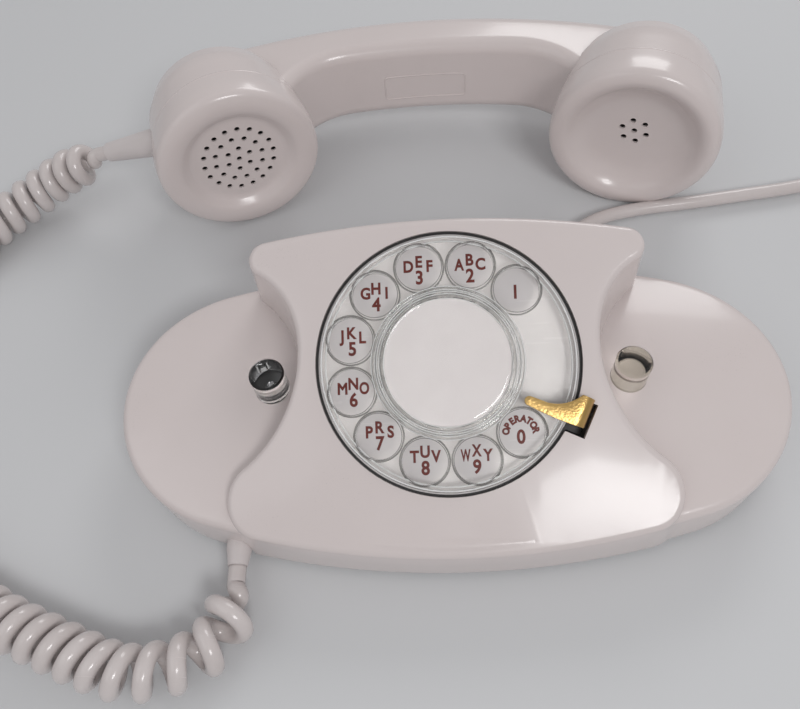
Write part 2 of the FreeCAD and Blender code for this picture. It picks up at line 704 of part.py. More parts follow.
def gear(teeth, pitch_radius, low, high, phase=0.0):
    """Spur gear with plain trapezoid teeth and generous backlash, one tooth centred on the phase."""
    module = 2.0 * pitch_radius / teeth
    tip = pitch_radius + 0.85 * module
    root = pitch_radius - 1.15 * module
    pitch_angle = 360.0 / teeth
    corners = []
    for i in range(teeth):
        middle = phase + pitch_angle * i
        corners.append(around(root, middle - 0.27 * pitch_angle, low))
        corners.append(around(tip, middle - 0.11 * pitch_angle, low))
        corners.append(around(tip, middle + 0.11 * pitch_angle, low))
        corners.append(around(root, middle + 0.27 * pitch_angle, low))
    face = Part.Face(Part.makePolygon(corners + corners[:1]))
    return face.extrude(Vector(0, 0, high - low))


def mesh_radius(teeth):
    """Pitch radius of a pinion that meshes with the main gear."""
    return GEAR_PITCH_RADIUS * teeth / GEAR_TEETH


def meshing_phase(teeth, degrees):
    """Angle of a tooth on a pinion whose gap takes the main gear's nearest tooth."""
    pitch = 360.0 / GEAR_TEETH
    nearest = PINION_ANGLE + pitch * round((degrees - PINION_ANGLE) / pitch)
    return degrees + 180.0 - (nearest - degrees) * GEAR_TEETH / teeth + 180.0 / teeth


def spindle_place(teeth, degrees):
    """Centre of a pinion that meshes with the main gear at an angle."""
    return around(GEAR_PITCH_RADIUS + mesh_radius(teeth), degrees)


PINION_AT = spindle_place(PINION_TEETH, PINION_ANGLE)
GOVERNOR_AT = spindle_place(GOVERNOR_TEETH, GOVERNOR_ANGLE)
BRIDGE_TOP = -18.6
BRIDGE_THICKNESS = 1.4
BRIDGE_BOTTOM = BRIDGE_TOP - BRIDGE_THICKNESS
BRIDGE_POSTS = ((34.5, PINION_ANGLE), (35.0, GOVERNOR_ANGLE), (26.5, 85.0))
BRIDGE_POST_RADIUS = 2.2
SPINDLE_TOP = FRAME_TOP - 0.4
GEAR_BOTTOM = GEAR_TOP - GEAR_THICKNESS
PINION_TOP = GEAR_TOP + 0.8
PINION_BOTTOM = GEAR_BOTTOM - 0.8
CUP_RADIUS = 9.0
CUP_TOP = -13.0


def spindle_holes(low, high):
    """Bores for the shaft and the two spindles."""
    thin = SPINDLE_RADIUS + SHAFT_CLEARANCE
    return [
        disc(SHAFT_RADIUS + SHAFT_CLEARANCE, low, high),
        disc(thin, low, high, PINION_AT.x, PINION_AT.y),
        disc(thin, low, high, GOVERNOR_AT.x, GOVERNOR_AT.y),
    ]


def make_dial_frame():
    """Steel plate behind the number plate, with four fixing ears and a seat for the finger stop."""
    plate = disc(FRAME_RADIUS, FRAME_BOTTOM, FRAME_TOP)
    ears = []
    holes = spindle_holes(FRAME_BOTTOM - 1.0, FRAME_TOP + 1.0)
    for degrees in DIAL_LUG_ANGLES:
        spot = around(DIAL_LUG_RADIUS, degrees)
        ears.append(prism(12, DIAL_LUG_POST, FRAME_BOTTOM, FRAME_TOP, spot.x, spot.y))
        ears.append(
            dial_bar(FRAME_RADIUS - 2.0, DIAL_LUG_RADIUS, degrees, DIAL_LUG_POST, FRAME_BOTTOM, FRAME_TOP)
        )
        clear = SCREW_RADIUS + SCREW_CLEARANCE
        holes.append(disc(clear, FRAME_BOTTOM - 1.0, FRAME_TOP + 1.0, spot.x, spot.y))
    seat = dial_bar(
        FRAME_RADIUS - 2.0, STOP_OUTER_RADIUS + 0.8, STOP_ANGLE, 4.6, FRAME_BOTTOM, FRAME_TOP
    )
    return on_dial(fused(plate, seat, *ears).cut(holes))


def make_dial_screws():
    """Screws that hold the dial's frame to the housing's posts."""
    screws = []
    for degrees in DIAL_LUG_ANGLES:
        spot = around(DIAL_LUG_RADIUS, degrees)
        screws.append(on_dial(pan_screw(spot.x, spot.y, FRAME_BOTTOM, FRAME_THICKNESS + 3.2)))
    return screws


def make_dial_bridge():
    """Lower bridge on three posts, with the bearings of the shaft and both spindles."""
    pieces = [prism(8, 6.0, BRIDGE_BOTTOM, BRIDGE_TOP)]
    for radius, degrees in BRIDGE_POSTS:
        spot = around(radius, degrees)
        pieces.append(dial_bar(0.0, radius, degrees, 3.6, BRIDGE_BOTTOM, BRIDGE_TOP))
        pieces.append(prism(6, 3.6, BRIDGE_BOTTOM, BRIDGE_TOP, spot.x, spot.y))
        pieces.append(prism(6, BRIDGE_POST_RADIUS, BRIDGE_TOP - 0.5, FRAME_BOTTOM, spot.x, spot.y))
    holes = spindle_holes(BRIDGE_BOTTOM - 1.0, BRIDGE_TOP + 1.0)
    return on_dial(fused(*pieces).cut(holes))


def make_dial_shaft():
    """Main shaft from the wheel's boss down through the bridge."""
    return on_dial(disc(SHAFT_RADIUS, BRIDGE_BOTTOM - 1.2, NUMBER_PLATE_TOP + 0.6))


def make_main_gear():
    """Gear fixed on the shaft."""
    wheel = gear(GEAR_TEETH, GEAR_PITCH_RADIUS, GEAR_BOTTOM, GEAR_TOP, PINION_ANGLE)
    return on_dial(wheel.cut(disc(SHAFT_RADIUS, GEAR_BOTTOM - 1.0, GEAR_TOP + 1.0)))


def make_return_spring():
    """Flat wound spring round the shaft, shown as its drum."""
    return on_dial(tube(16, 9.0, 4.4, BRIDGE_TOP, BRIDGE_TOP + 4.5))


def spindle(at):
    """Thin spindle between the frame and the bridge."""
    return disc(SPINDLE_RADIUS, BRIDGE_BOTTOM - 0.6, SPINDLE_TOP, at.x, at.y)


def make_pulse_pinion():
    """Pinion on its spindle; a gap between two teeth faces the main gear."""
    phase = meshing_phase(PINION_TEETH, PINION_ANGLE)
    teeth = gear(PINION_TEETH, mesh_radius(PINION_TEETH), PINION_BOTTOM, PINION_TOP, phase)
    teeth.translate(PINION_AT)
    return on_dial(teeth.fuse(spindle(PINION_AT)))


def make_pulse_cam():
    """Three-lobed cam under the pinion that opens the pulse contacts."""
    lobes = [prism(12, 3.4, -16.2, -14.6, PINION_AT.x, PINION_AT.y)]
    for i in range(3):
        spot = PINION_AT + around(2.6, 120.0 * i + 30.0)
        lobes.append(prism(6, 2.2, -16.2, -14.6, spot.x, spot.y))
    bore = disc(SPINDLE_RADIUS, -17.0, -14.0, PINION_AT.x, PINION_AT.y)
    return on_dial(fused(*lobes).cut(bore))


def make_pulse_contacts():
    """Contact block under the frame with two leaves that reach beside the cam."""
    x = PINION_AT.x
    y = PINION_AT.y - 6.4
    stack = block((x + 5.6, x + 10.6), (y - 3.4, y + 1.0), (-17.0, FRAME_BOTTOM))
    leaves = []
    for place in (-0.4, -2.4):
        leaves.append(block((x - 3.0, x + 6.0), (y + place, y + place + 0.4), (-16.4, -14.4)))
    return on_dial(fused(stack, *leaves))


def make_governor_rotor():
    """Governor: a small pinion and a cross bar with two weights, on one spindle."""
    phase = meshing_phase(GOVERNOR_TEETH, GOVERNOR_ANGLE)
    teeth = gear(GOVERNOR_TEETH, mesh_radius(GOVERNOR_TEETH), PINION_BOTTOM, PINION_TOP, phase)
    bar = block((-5.0, 5.0), (-0.8, 0.8), (-17.4, -15.4))
    weights = [prism(6, 2.2, -17.8, -14.4, sign * 4.8, 0.0) for sign in (-1, 1)]
    rotor = fused(teeth, bar, *weights)
    rotor.translate(GOVERNOR_AT)
    return on_dial(rotor.fuse(spindle(GOVERNOR_AT)))


def make_governor_cup():
    """Brake cup round the governor's weights."""
    x, y = GOVERNOR_AT.x, GOVERNOR_AT.y
    return on_dial(tube(16, CUP_RADIUS, CUP_RADIUS - 1.0, BRIDGE_TOP, CUP_TOP, x, y))


def stop_outline(low, high):
    """Curved blade seen from above, as a prism between two levels, along the stop's own axis."""
    end = STOP_OUTER_RADIUS + 1.0
    flare = STOP_OUTER_RADIUS - STOP_FLARE_LENGTH
    inner = STOP_INNER_RADIUS
    edges = [
        arc(Vector(inner + 1.3, 0.1, low), Vector(inner, -1.25, low), Vector(inner + 1.3, -2.6, low)),
        arc(Vector(inner + 1.3, -2.6, low), Vector(34.0, -3.0, low), Vector(end, -2.4, low)),
        Part.makeLine(Vector(end, -2.4, low), Vector(end, STOP_FLARE, low)),
        Part.makeLine(Vector(end, STOP_FLARE, low), Vector(flare, STOP_FLARE, low)),
        arc(Vector(flare, STOP_FLARE, low), Vector(35.6, 2.2, low), Vector(31.0, 0.3, low)),
        Part.makeLine(Vector(31.0, 0.3, low), Vector(inner + 1.3, 0.1, low)),
    ]
    return Part.Face(Part.Wire(edges)).extrude(Vector(0, 0, high - low))


def stop_strip():
    """Bent strip seen from its side: level over the wheel, then turned down into the slot."""
    outer, thick = STOP_OUTER_RADIUS, STOP_THICKNESS
    top = STOP_HEIGHT + thick
    bend = STOP_BEND_RADIUS
    middle = math.sqrt(0.5)
    inner = bend - thick

    def spot(x, z):
        return Vector(x, -10.0, z)

    corner = Vector(outer - bend, -10.0, top - bend)
    edges = [
        Part.makeLine(spot(20.0, top), spot(corner.x, top)),
        arc(spot(corner.x, top), spot(corner.x + bend * middle, corner.z + bend * middle),
            spot(outer, corner.z)),
        Part.makeLine(spot(outer, corner.z), spot(outer, FRAME_TOP)),
        Part.makeLine(spot(outer, FRAME_TOP), spot(outer - thick, FRAME_TOP)),
        Part.makeLine(spot(outer - thick, FRAME_TOP), spot(outer - thick, corner.z)),
        arc(spot(outer - thick, corner.z), spot(corner.x + inner * middle, corner.z + inner * middle),
            spot(corner.x, top - thick)),
        Part.makeLine(spot(corner.x, top - thick), spot(20.0, top - thick)),
        Part.makeLine(spot(20.0, top - thick), spot(20.0, top)),
    ]
    return Part.Face(Part.Wire(edges)).extrude(Vector(0, 20.0, 0))


def make_finger_stop():
    """Bent strip that reaches over the wheel from a slot beside it."""
    strip = stop_strip()
    blade = strip.common(stop_outline(STOP_CLEARANCE, 10.0))
    leg = strip.common(block((30.0, 50.0), (-2.4, STOP_LEG_SIDE), (FRAME_TOP, STOP_CLEARANCE)))
    stop = blade.fuse(leg).removeSplitter()
    stop.rotate(Vector(), Vector(0, 0, 1), STOP_ANGLE)
    return on_dial(stop)


# ---- handset -------------------------------------------------------------------------------------
HANDSET_Z = 31.0
THREAD_RADIUS = 27.0
NECK_CLEARANCE = 0.15
NECK_FRONT = 8.4
CAPSULE_FLANGE = 24.7
CAPSULE_SEAT = 21.5
CUP_BACK = 40.0
CUP_WALL = 2.6
GRIP_Y = HANDLE_REACH - HANDLE_THICKNESS
HANDLE_BACK_X = 88.0
HANDLE_BACK_DROP = 17.0
HANDLE_BACK_ROUND = 8.0
HANDLE_GRIP_X = 32.0
HANDLE_GRIP_DROP = 2.2
HANDLE_GRIP_ROUND = 5.0
HANDLE_END = (101.5, 25.0)
HANDLE_ROOT = (54.5, 21.0)
BOOT_ROOT = Vector(-108.2, 106.0, 31.0)
BOOT_TIP = Vector(-128.6, 108.0, 25.0)
BOOT_RADIUS = 5.6
BOOT_TIP_RADIUS = 3.6
BOOT_NECK = 3.2
BOOT_GRIP = 3.0

HANDSET_PLACE = Placement(
    Vector(HANDSET_X, HANDSET_Y, HANDSET_Z), Rotation(Vector(1, 0, 0), HANDSET_TILT)
)
CUP_AT = {}
for side, lean in ((1, RECEIVER_TILT), (-1, TRANSMITTER_TILT)):
    bearing_in = math.radians(lean)
    backwards = Vector(side * math.sin(bearing_in), math.cos(bearing_in), 0)
    CUP_AT[side] = Placement(Vector(side * CAP_OFFSET, 0, 0), Rotation(Vector(0, 0, 1), backwards))


def in_hand(shape):
    """Copy of a shape moved from the handset's own frame to where it lies on the table."""
    copy = shape.copy()
    copy.Placement = HANDSET_PLACE.multiply(copy.Placement)
    return copy


def at_cup(shape, side):
    """Copy of a shape drawn along a cup's axis, placed at the receiver (1) or transmitter (-1)."""
    copy = shape.copy()
    copy.Placement = HANDSET_PLACE.multiply(CUP_AT[side]).multiply(copy.Placement)
    return copy


def pierced(cap, rings, radius, depth):
    """Cap with small six-sided sound holes on rings, each ring given as (radius, count)."""
    holes = []
    for pitch, count in rings:
        for i in range(count):
            spot = around(pitch, 360.0 * (i + 0.5 * (count == 12)) / count)
            holes.append(prism(6, radius, -1.0, depth, spot.x, spot.y))
    return cap.cut(holes)


def make_receiver_cap():
    """Dished ear cap that screws over the cup's neck."""
    cap = turned([
        (0.0, 6.0),
        (9.0, 5.3),
        (17.0, 3.1),
        (22.8, 0.8),
        (24.2, 0.1),
        (26.6, 0.1),
        (29.4, 2.4),
        (CAP_RADIUS, 6.2),
        (CAP_RADIUS - 0.5, CAP_DEPTH),
        (THREAD_RADIUS, CAP_DEPTH),
        (THREAD_RADIUS, 6.6),
        (23.6, 3.6),
        (12.0, 7.2),
        (0.0, 8.6),
    ])
    return at_cup(pierced(cap, EAR_HOLE_RINGS, EAR_HOLE_RADIUS, 10.0), 1)


def make_transmitter_cap():
    """Mouth cap with a sunken flat grille that screws over the cup's neck."""
    cap = turned([
        (0.0, 1.4),
        (20.0, 1.4),
        (21.0, 0.3),
        (25.6, 0.1),
        (29.0, 2.6),
        (CAP_RADIUS - 0.2, 6.4),
        (CAP_RADIUS - 0.5, CAP_DEPTH),
        (THREAD_RADIUS, CAP_DEPTH),
        (THREAD_RADIUS, 6.0),
        (23.6, 3.8),
        (0.0, 3.8),
    ])
    return at_cup(pierced(cap, MOUTH_HOLE_RINGS, MOUTH_HOLE_RADIUS, 6.0), -1)


def cup_outer():
    """Outside of a cup behind its cap, with the threaded neck."""
    neck = THREAD_RADIUS - NECK_CLEARANCE
    return turned([
        (0.0, NECK_FRONT),
        (neck, NECK_FRONT),
        (neck, CAP_DEPTH),
        (CAP_RADIUS - 0.7, CAP_DEPTH),
        (CAP_RADIUS - 1.9, CUP_DEPTH - 3.0),
        (CAP_RADIUS - 4.4, CUP_BACK - 5.0),
        (CAP_RADIUS - 13.0, CUP_BACK),
        (0.0, CUP_BACK),
    ])


def cup_cavity():
    """Bore of a cup: a seat for the capsule and a wiring space behind it."""
    return turned([
        (0.0, NECK_FRONT - 1.0),
        (CAPSULE_FLANGE + 0.2, NECK_FRONT - 1.0),
        (CAPSULE_FLANGE + 0.2, CAPSULE_SEAT),
        (CAPSULE_FLANGE - 4.0, CAPSULE_SEAT),
        (CAPSULE_FLANGE - 8.0, CUP_BACK - 2.0 * CUP_WALL),
        (0.0, CUP_BACK - 2.0 * CUP_WALL),
    ])


def curved_edges(bar, low, high):
    """Level arcs on the bar's two flat sides whose farthest reach in Y lies between two values."""
    found = []
    for edge in bar.Edges:
        box = edge.BoundBox
        on_side = box.ZLength < 0.01 and abs(abs(box.ZMin) - HANDLE_WIDTH / 2) < 0.01
        if type(edge.Curve).__name__ == "Circle" and on_side and low < box.YMax < high:
            found.append(edge)
    return found


def handle_bar():
    """Bowed bar between the cups, flat across its width, with rounded edges."""
    low = -HANDLE_WIDTH / 2
    back = Vector(HANDLE_BACK_X, HANDLE_REACH - HANDLE_BACK_DROP, low)
    grip = Vector(HANDLE_GRIP_X, GRIP_Y - HANDLE_GRIP_DROP, low)
    end = Vector(*HANDLE_END, low)
    root = Vector(*HANDLE_ROOT, low)
    back_turn = 2.0 * math.atan2(HANDLE_BACK_DROP, back.x)
    grip_turn = 2.0 * math.atan2(HANDLE_GRIP_DROP, grip.x)
    right = [
        arc_leaving(back, Vector(math.cos(back_turn), -math.sin(back_turn), 0), end),
        Part.makeLine(end, root),
        arc_leaving(grip, Vector(math.cos(grip_turn), -math.sin(grip_turn), 0), root),
    ]
    left = [edge.mirror(Vector(), Vector(1, 0, 0)) for edge in right]
    spine = arc(Vector(-back.x, back.y, low), Vector(0, HANDLE_REACH, low), back)
    inside = arc(grip, Vector(0, GRIP_Y, low), Vector(-grip.x, grip.y, low))
    outline = Part.Wire(Part.__sortEdges__([spine, inside] + right + left))
    bar = Part.Face(outline).extrude(Vector(0, 0, HANDLE_WIDTH))
    bar = bar.makeFillet(HANDLE_GRIP_ROUND, curved_edges(bar, GRIP_Y - 30.0, GRIP_Y + 1.0))
    return bar.makeFillet(HANDLE_BACK_ROUND, curved_edges(bar, GRIP_Y + 1.0, HANDLE_REACH + 1.0))


def boot_neck():
    """Bore and neck of the cord's boot, through the transmitter cup's wall."""
    direction = (BOOT_ROOT - BOOT_TIP).normalize()
    return rod(BOOT_ROOT, direction, BOOT_GRIP, BOOT_NECK)


def make_handle():
    """Hollow handle: two cups joined by the bar, in one moulding."""
    body = in_hand(handle_bar())
    body = body.multiFuse([at_cup(cup_outer(), 1), at_cup(cup_outer(), -1)])
    return body.cut([at_cup(cup_cavity(), 1), at_cup(cup_cavity(), -1), boot_neck()])


def make_handset_boot(handle):
    """Tapered sleeve that guards the curly cord where it leaves the transmitter cup."""
    along = BOOT_TIP - BOOT_ROOT
    start = BOOT_ROOT - along.normalize() * 4.0
    length = (BOOT_TIP - start).Length
    cone = rod(start, BOOT_TIP - start, length, BOOT_RADIUS, BOOT_TIP_RADIUS)
    outside = cone.cut(handle)
    pieces = sorted(outside.Solids, key=lambda solid: solid.Volume)
    return pieces[-1].fuse(boot_neck()).removeSplitter()


def make_capsule():
    """Round sound capsule with a flange that sits on the cup's seat."""
    return turned([
        (0.0, CAPSULE_SEAT - CAPSULE_DEPTH),
        (CAPSULE_FLANGE - 3.0, CAPSULE_SEAT - CAPSULE_DEPTH),
        (CAPSULE_FLANGE, CAPSULE_SEAT - 3.0),
        (CAPSULE_FLANGE, CAPSULE_SEAT),
        (0.0, CAPSULE_SEAT),
    ])


# ---- cords ---------------------------------------------------------------------------------------
CURL_SIDES = 4
CURL_STEPS_PER_TURN = 2
CURL_PITCH_START = 9.6
CURL_PITCH = 7.2
CURL_PITCH_LOOSE = 18.0
CURL_ROUTE = (
    (-66.9, -62.0, 9.3),
    (-69.5, -70.5, 9.3),
    (-77.5, -77.0, 9.3),
    (-88.0, -80.0, 9.3),
    (-98.5, -80.5, 9.3),
    (-110.0, -76.5, 9.3),
    (-122.0, -71.5, 9.3),
    (-138.0, -65.0, 9.3),
    (-156.0, -55.0, 9.3),
    (-175.0, -38.0, 9.3),
    (-190.0, -18.0, 9.3),
    (-199.0, 5.0, 9.3),
    (-202.0, 28.0, 9.3),
    (-198.0, 51.0, 9.3),
    (-189.0, 72.0, 9.3),
    (-177.0, 88.0, 9.8),
    (-163.0, 100.0, 11.5),
    (-150.0, 107.0, 16.0),
)
LINE_SIDES = 6
LINE_STIFF_RADIUS = 26.0
LINE_ROUTE = (
    (48.0, 71.9, 5.8),
    (54.8, 78.7, 4.2),
    (63.2, 83.2, 3.1),
    (72.7, 85.5, 2.7),
    (83.5, 87.0, 2.7),
    (98.0, 88.2, 2.7),
    (116.0, 90.6, 2.7),
    (135.0, 92.8, 2.7),
    (152.0, 96.6, 2.7),
    (169.0, 98.0, 2.7),
)
LINE_FIRST_RUN = 9.4
LINE_COIL_CENTRE = Vector(192.0, 50.0, 2.7)
LINE_COIL_RADIUS = 48.0
LINE_COIL_TURNS = 2
LINE_COIL_SIDES = 4
COIL_GAP = 0.7
PLUG_LENGTH = 22.0
PLUG_WIDTH = 11.6
PLUG_HEIGHT = 8.0
PLUG_REST = 4.2
PLUG_OFFSET = 12.0


def regular_section(sides, area_radius, centre, along, up):
    """Regular polygon with the area of a circle, square to a direction, as a closed wire."""
    corner = area_radius * math.sqrt(2.0 * math.pi / (sides * math.sin(2.0 * math.pi / sides)))
    across = along.cross(up).normalize()
    upright = across.cross(along).normalize()
    points = []
    for i in range(sides + 1):
        angle = 2.0 * math.pi * (i + 0.5) / sides
        points.append(centre + across * (corner * math.sin(angle)) + upright * (corner * math.cos(angle)))
    return Part.makePolygon(points)


def biarc(start, start_tangent, end, end_tangent):
    """Two tangent arcs between two points with given directions."""
    gap = end - start
    both = start_tangent + end_tangent
    a = both.dot(both) - 4.0
    b = gap.dot(both)
    reach = (b - math.sqrt(b * b - a * gap.dot(gap))) / a
    first = start + start_tangent * reach
    last = end - end_tangent * reach
    join = (first + last) * 0.5
    return [arc_leaving(start, start_tangent, join), arc_leaving(join, last - first, end)]


def swept(edges, sides, radius, up):
    """Polygonal tube along tangent edges."""
    path = Part.Wire(edges)
    start = edges[0].valueAt(edges[0].FirstParameter)
    along = edges[0].tangentAt(edges[0].FirstParameter)
    shell = Part.BRepOffsetAPI.MakePipeShell(path)
    shell.add(regular_section(sides, radius, start, along, up))
    shell.build()
    shell.makeSolid()
    solid = shell.shape()
    print("tube: volume %.1f, section times length %.1f" % (
        solid.Volume, math.pi * radius ** 2 * path.Length))
    return solid


def rounded_route(points):
    """Straight runs joined by tangent arcs as large as the runs allow; prints the radii."""
    edges = []
    radii = []
    here = points[0]
    for before, corner, after in zip(points, points[1:], points[2:]):
        into = (corner - before).normalize()
        out = (after - corner).normalize()
        half_turn = 0.5 * into.getAngle(out)
        leg = 0.45 * min((corner - before).Length, (after - corner).Length)
        radii.append(leg / math.tan(half_turn))
        start = corner - into * leg
        end = corner + out * leg
        edges.append(Part.makeLine(here, start))
        edges.append(arc_leaving(start, into, end))
        here = end
    edges.append(Part.makeLine(here, points[-1]))
    print("route radii: " + " ".join("%.0f" % r for r in radii))
    return edges


def smooth_axis(points, step):
    """Points along the quadratic curve that the corner points control, evenly spaced."""
    pieces = []
    here = points[0]
    for i in range(1, len(points) - 1):
        last = points[-1] if i == len(points) - 2 else (points[i] + points[i + 1]) * 0.5
        pieces.append((here, points[i], last))
        here = last
    fine = [points[0]]
    for a, b, c in pieces:
        for k in range(1, 41):
            t = k / 40.0
            fine.append(a * (1 - t) ** 2 + b * (2 * t * (1 - t)) + c * t ** 2)
    lengths = [0.0]
    for p, q in zip(fine, fine[1:]):
        lengths.append(lengths[-1] + (q - p).Length)
    count = max(2, round(lengths[-1] / step))
    evenly = []
    k = 0
    for i in range(count + 1):
        at = lengths[-1] * i / count
        while k < len(fine) - 2 and lengths[k + 1] < at:
            k += 1
        share = (at - lengths[k]) / (lengths[k + 1] - lengths[k])
        evenly.append(fine[k] + (fine[k + 1] - fine[k]) * share)
    return evenly, lengths[-1]


def blend(x, low, high):
    """Smooth step from 0 at one value to 1 at another."""
    t = min(1.0, max(0.0, (x - low) / (high - low)))
    return t * t * (3.0 - 2.0 * t)


def curl_pitch(at, length):
    """Spacing of the curls: open at the base, close along the front, drawn out at the far side."""
    pitch = CURL_PITCH_START + (CURL_PITCH - CURL_PITCH_START) * blend(at, 30.0, 55.0)
    pitch += (CURL_PITCH_LOOSE - CURL_PITCH) * blend(at, 105.0, 135.0)
    return pitch + (CURL_PITCH - CURL_PITCH_LOOSE) * blend(at, length - 85.0, length - 60.0)


def curl_points(start, end):
    """Closely spaced points of the curly wire between its two straight ends, and the turn count."""
    corners = [start] + [Vector(*p) for p in CURL_ROUTE] + [end]
    axis, length = smooth_axis(corners, 0.25)
    swell = 0.5 * (CURL_OUTER - CURL_WIRE)
    step = length / (len(axis) - 1)
    phase = 0.0
    points = []
    for i, centre in enumerate(axis):
        at = i * step
        ahead = axis[min(i + 1, len(axis) - 1)] - axis[max(i - 1, 0)]
        side = Vector(0, 0, 1).cross(ahead).normalize()
        up = ahead.cross(side).normalize()
        radius = swell * blend(at, 0.0, 9.0) * blend(length - at, 0.0, 10.0)
        points.append(centre + up * (radius * math.cos(phase)) + side * (radius * math.sin(phase)))
        phase += 2.0 * math.pi * step / curl_pitch(at, length)
    return points, phase / (2.0 * math.pi)


def least_self_gap(points, diameter, apart):
    """Least gap of a tube to itself between points more than a length apart along it."""
    step = (points[1] - points[0]).Length
    least = 1e9
    lengths = [0.0]
    for p, q in zip(points, points[1:]):
        lengths.append(lengths[-1] + (q - p).Length)
    cell = {}
    size = 12.0
    for i, p in enumerate(points):
        key = (int(p.x // size), int(p.y // size), int(p.z // size))
        cell.setdefault(key, []).append(i)
    for (cx, cy, cz), here in cell.items():
        near = []
        for dx in (-1, 0, 1):
            for dy in (-1, 0, 1):
                for dz in (-1, 0, 1):
                    near += cell.get((cx + dx, cy + dy, cz + dz), [])
        for i in here[::3]:
            for j in near:
                if lengths[j] - lengths[i] > apart:
                    least = min(least, (points[j] - points[i]).Length)
    return least - diameter


def wound(points, steps, first_tangent, last_tangent):
    """Biarcs along closely spaced points, a fixed number of steps from end to end."""
    stations = [round(i * (len(points) - 1) / steps) for i in range(steps + 1)]
    tangents = [first_tangent]
    for i in stations[1:-1]:
        tangents.append((points[i + 1] - points[i - 1]).normalize())
    tangents.append(last_tangent)
    edges = []
    for k in range(steps):
        first, last = points[stations[k]], points[stations[k + 1]]
        edges += biarc(first, tangents[k], last, tangents[k + 1])
    return edges


def make_handset_cord():
    """Curly cord from the base's relief to the handset's boot, one unbroken tube."""
    away = around(1.0, HANDSET_EXIT_HEADING)
    tip = HANDSET_EXIT + away * RELIEF_LENGTH
    start = tip + away * CURL_WIRE
    homeward = (BOOT_ROOT - BOOT_TIP).normalize()
    end = BOOT_TIP - homeward * CURL_WIRE
    points, turns = curl_points(start, end)
    gap = least_self_gap(points, CURL_WIRE, 2.5 * CURL_WIRE)
    print("handset cord: %.1f turns, least self-gap %.2f" % (turns, gap))
    edges = [Part.makeLine(tip, start)]
    edges += wound(points, round(CURL_STEPS_PER_TURN * turns), away, homeward)
    edges.append(Part.makeLine(end, BOOT_TIP))
    return swept(edges, CURL_SIDES, 0.5 * CURL_WIRE, Vector(0, 0, 1))


def make_line_cord():
    """Straight line cord from the rear relief to where its coil begins."""
    away = around(1.0, LINE_EXIT_HEADING)
    tip = LINE_EXIT + away * RELIEF_LENGTH
    entry = LINE_COIL_CENTRE + Vector(-LINE_CORD, LINE_COIL_RADIUS, 0)
    points = [tip, tip + away * LINE_FIRST_RUN] + [Vector(*p) for p in LINE_ROUTE] + [entry]
    return swept(rounded_route(points), LINE_SIDES, 0.5 * LINE_CORD, Vector(0, 0, 1))


def coil_points():
    """Points of the spare loops: spiral in on the table, climb a layer, spiral out on top."""
    pitch = LINE_CORD + COIL_GAP
    turns = 2.0 * LINE_COIL_TURNS + 0.5
    per_turn = 120
    points = []
    for i in range(int(turns * per_turn) + 1):
        at = i / per_turn
        past = min(0.5, max(0.0, at - LINE_COIL_TURNS))
        inward = min(at, LINE_COIL_TURNS) + past * (1.0 - 2.0 * past)
        inward -= max(0.0, at - LINE_COIL_TURNS - 0.5)
        outward = PLUG_OFFSET * blend(at, turns - 0.5, turns - 0.1)
        spot = around(LINE_COIL_RADIUS - pitch * inward + outward, 90.0 - 360.0 * at)
        upper = LINE_COIL_CENTRE.z + pitch * blend(at, LINE_COIL_TURNS, LINE_COIL_TURNS + 0.5)
        spot.z = upper + (PLUG_REST - upper) * blend(at, turns - 0.3, turns) - LINE_COIL_CENTRE.z
        points.append(LINE_COIL_CENTRE + spot)
    return points


def make_line_coil():
    """Spare length of the line cord, lying in two layers of loops."""
    points = coil_points()
    gap = least_self_gap(points, LINE_CORD, 4.0 * LINE_CORD)
    print("line cord coil: %d points, least self-gap %.2f" % (len(points), gap))
    ahead = Vector(1, 0, 0)
    last = (points[-1] - points[-2]).normalize()
    last.z = 0.0
    last.normalize()
    steps = 2 * (2 * LINE_COIL_TURNS) + 1
    edges = [Part.makeLine(points[0] - ahead * LINE_CORD, points[0])]
    edges += wound(points, steps, ahead, last)
    edges.append(Part.makeLine(points[-1], points[-1] + last * LINE_CORD))
    return swept(edges, LINE_COIL_SIDES, 0.5 * LINE_CORD, Vector(0, 0, 1))


def make_line_plug():
    """Modular plug on the end of the line cord."""
    points = coil_points()
    last = points[-1] - points[-2]
    heading = math.degrees(math.atan2(last.y, last.x))
    half_width, half_height = PLUG_WIDTH / 2, PLUG_HEIGHT / 2
    body = block((0.0, PLUG_LENGTH), (-half_width, half_width), (-half_height, half_height))
    tab = block((3.0, PLUG_LENGTH - 1.0), (-3.0, 3.0), (half_height, half_height + 1.2))
    plug = fused(body, tab)
    plug.rotate(Vector(), Vector(0, 0, 1), heading)
    plug.translate(points[-1] + around(LINE_CORD, heading))
    return plug


# ---- lamp ----------------------------------------------------------------------------------------
LAMP_AT = (22.0, 12.0)


def make_lamp():
    """Night-light lamp under the dial and the socket that holds it."""
    x, y = LAMP_AT
    socket = prism(8, 4.0, PLATE_TOP, PLATE_TOP + 6.0, x, y).fuse(
        block((x - 6.0, x + 6.0), (y - 3.0, y + 3.0), (PLATE_TOP, PLATE_TOP + 1.2))
    )
    return socket.removeSplitter(), prism(8, 2.6, PLATE_TOP + 6.0, PLATE_TOP + 11.0, x, y)


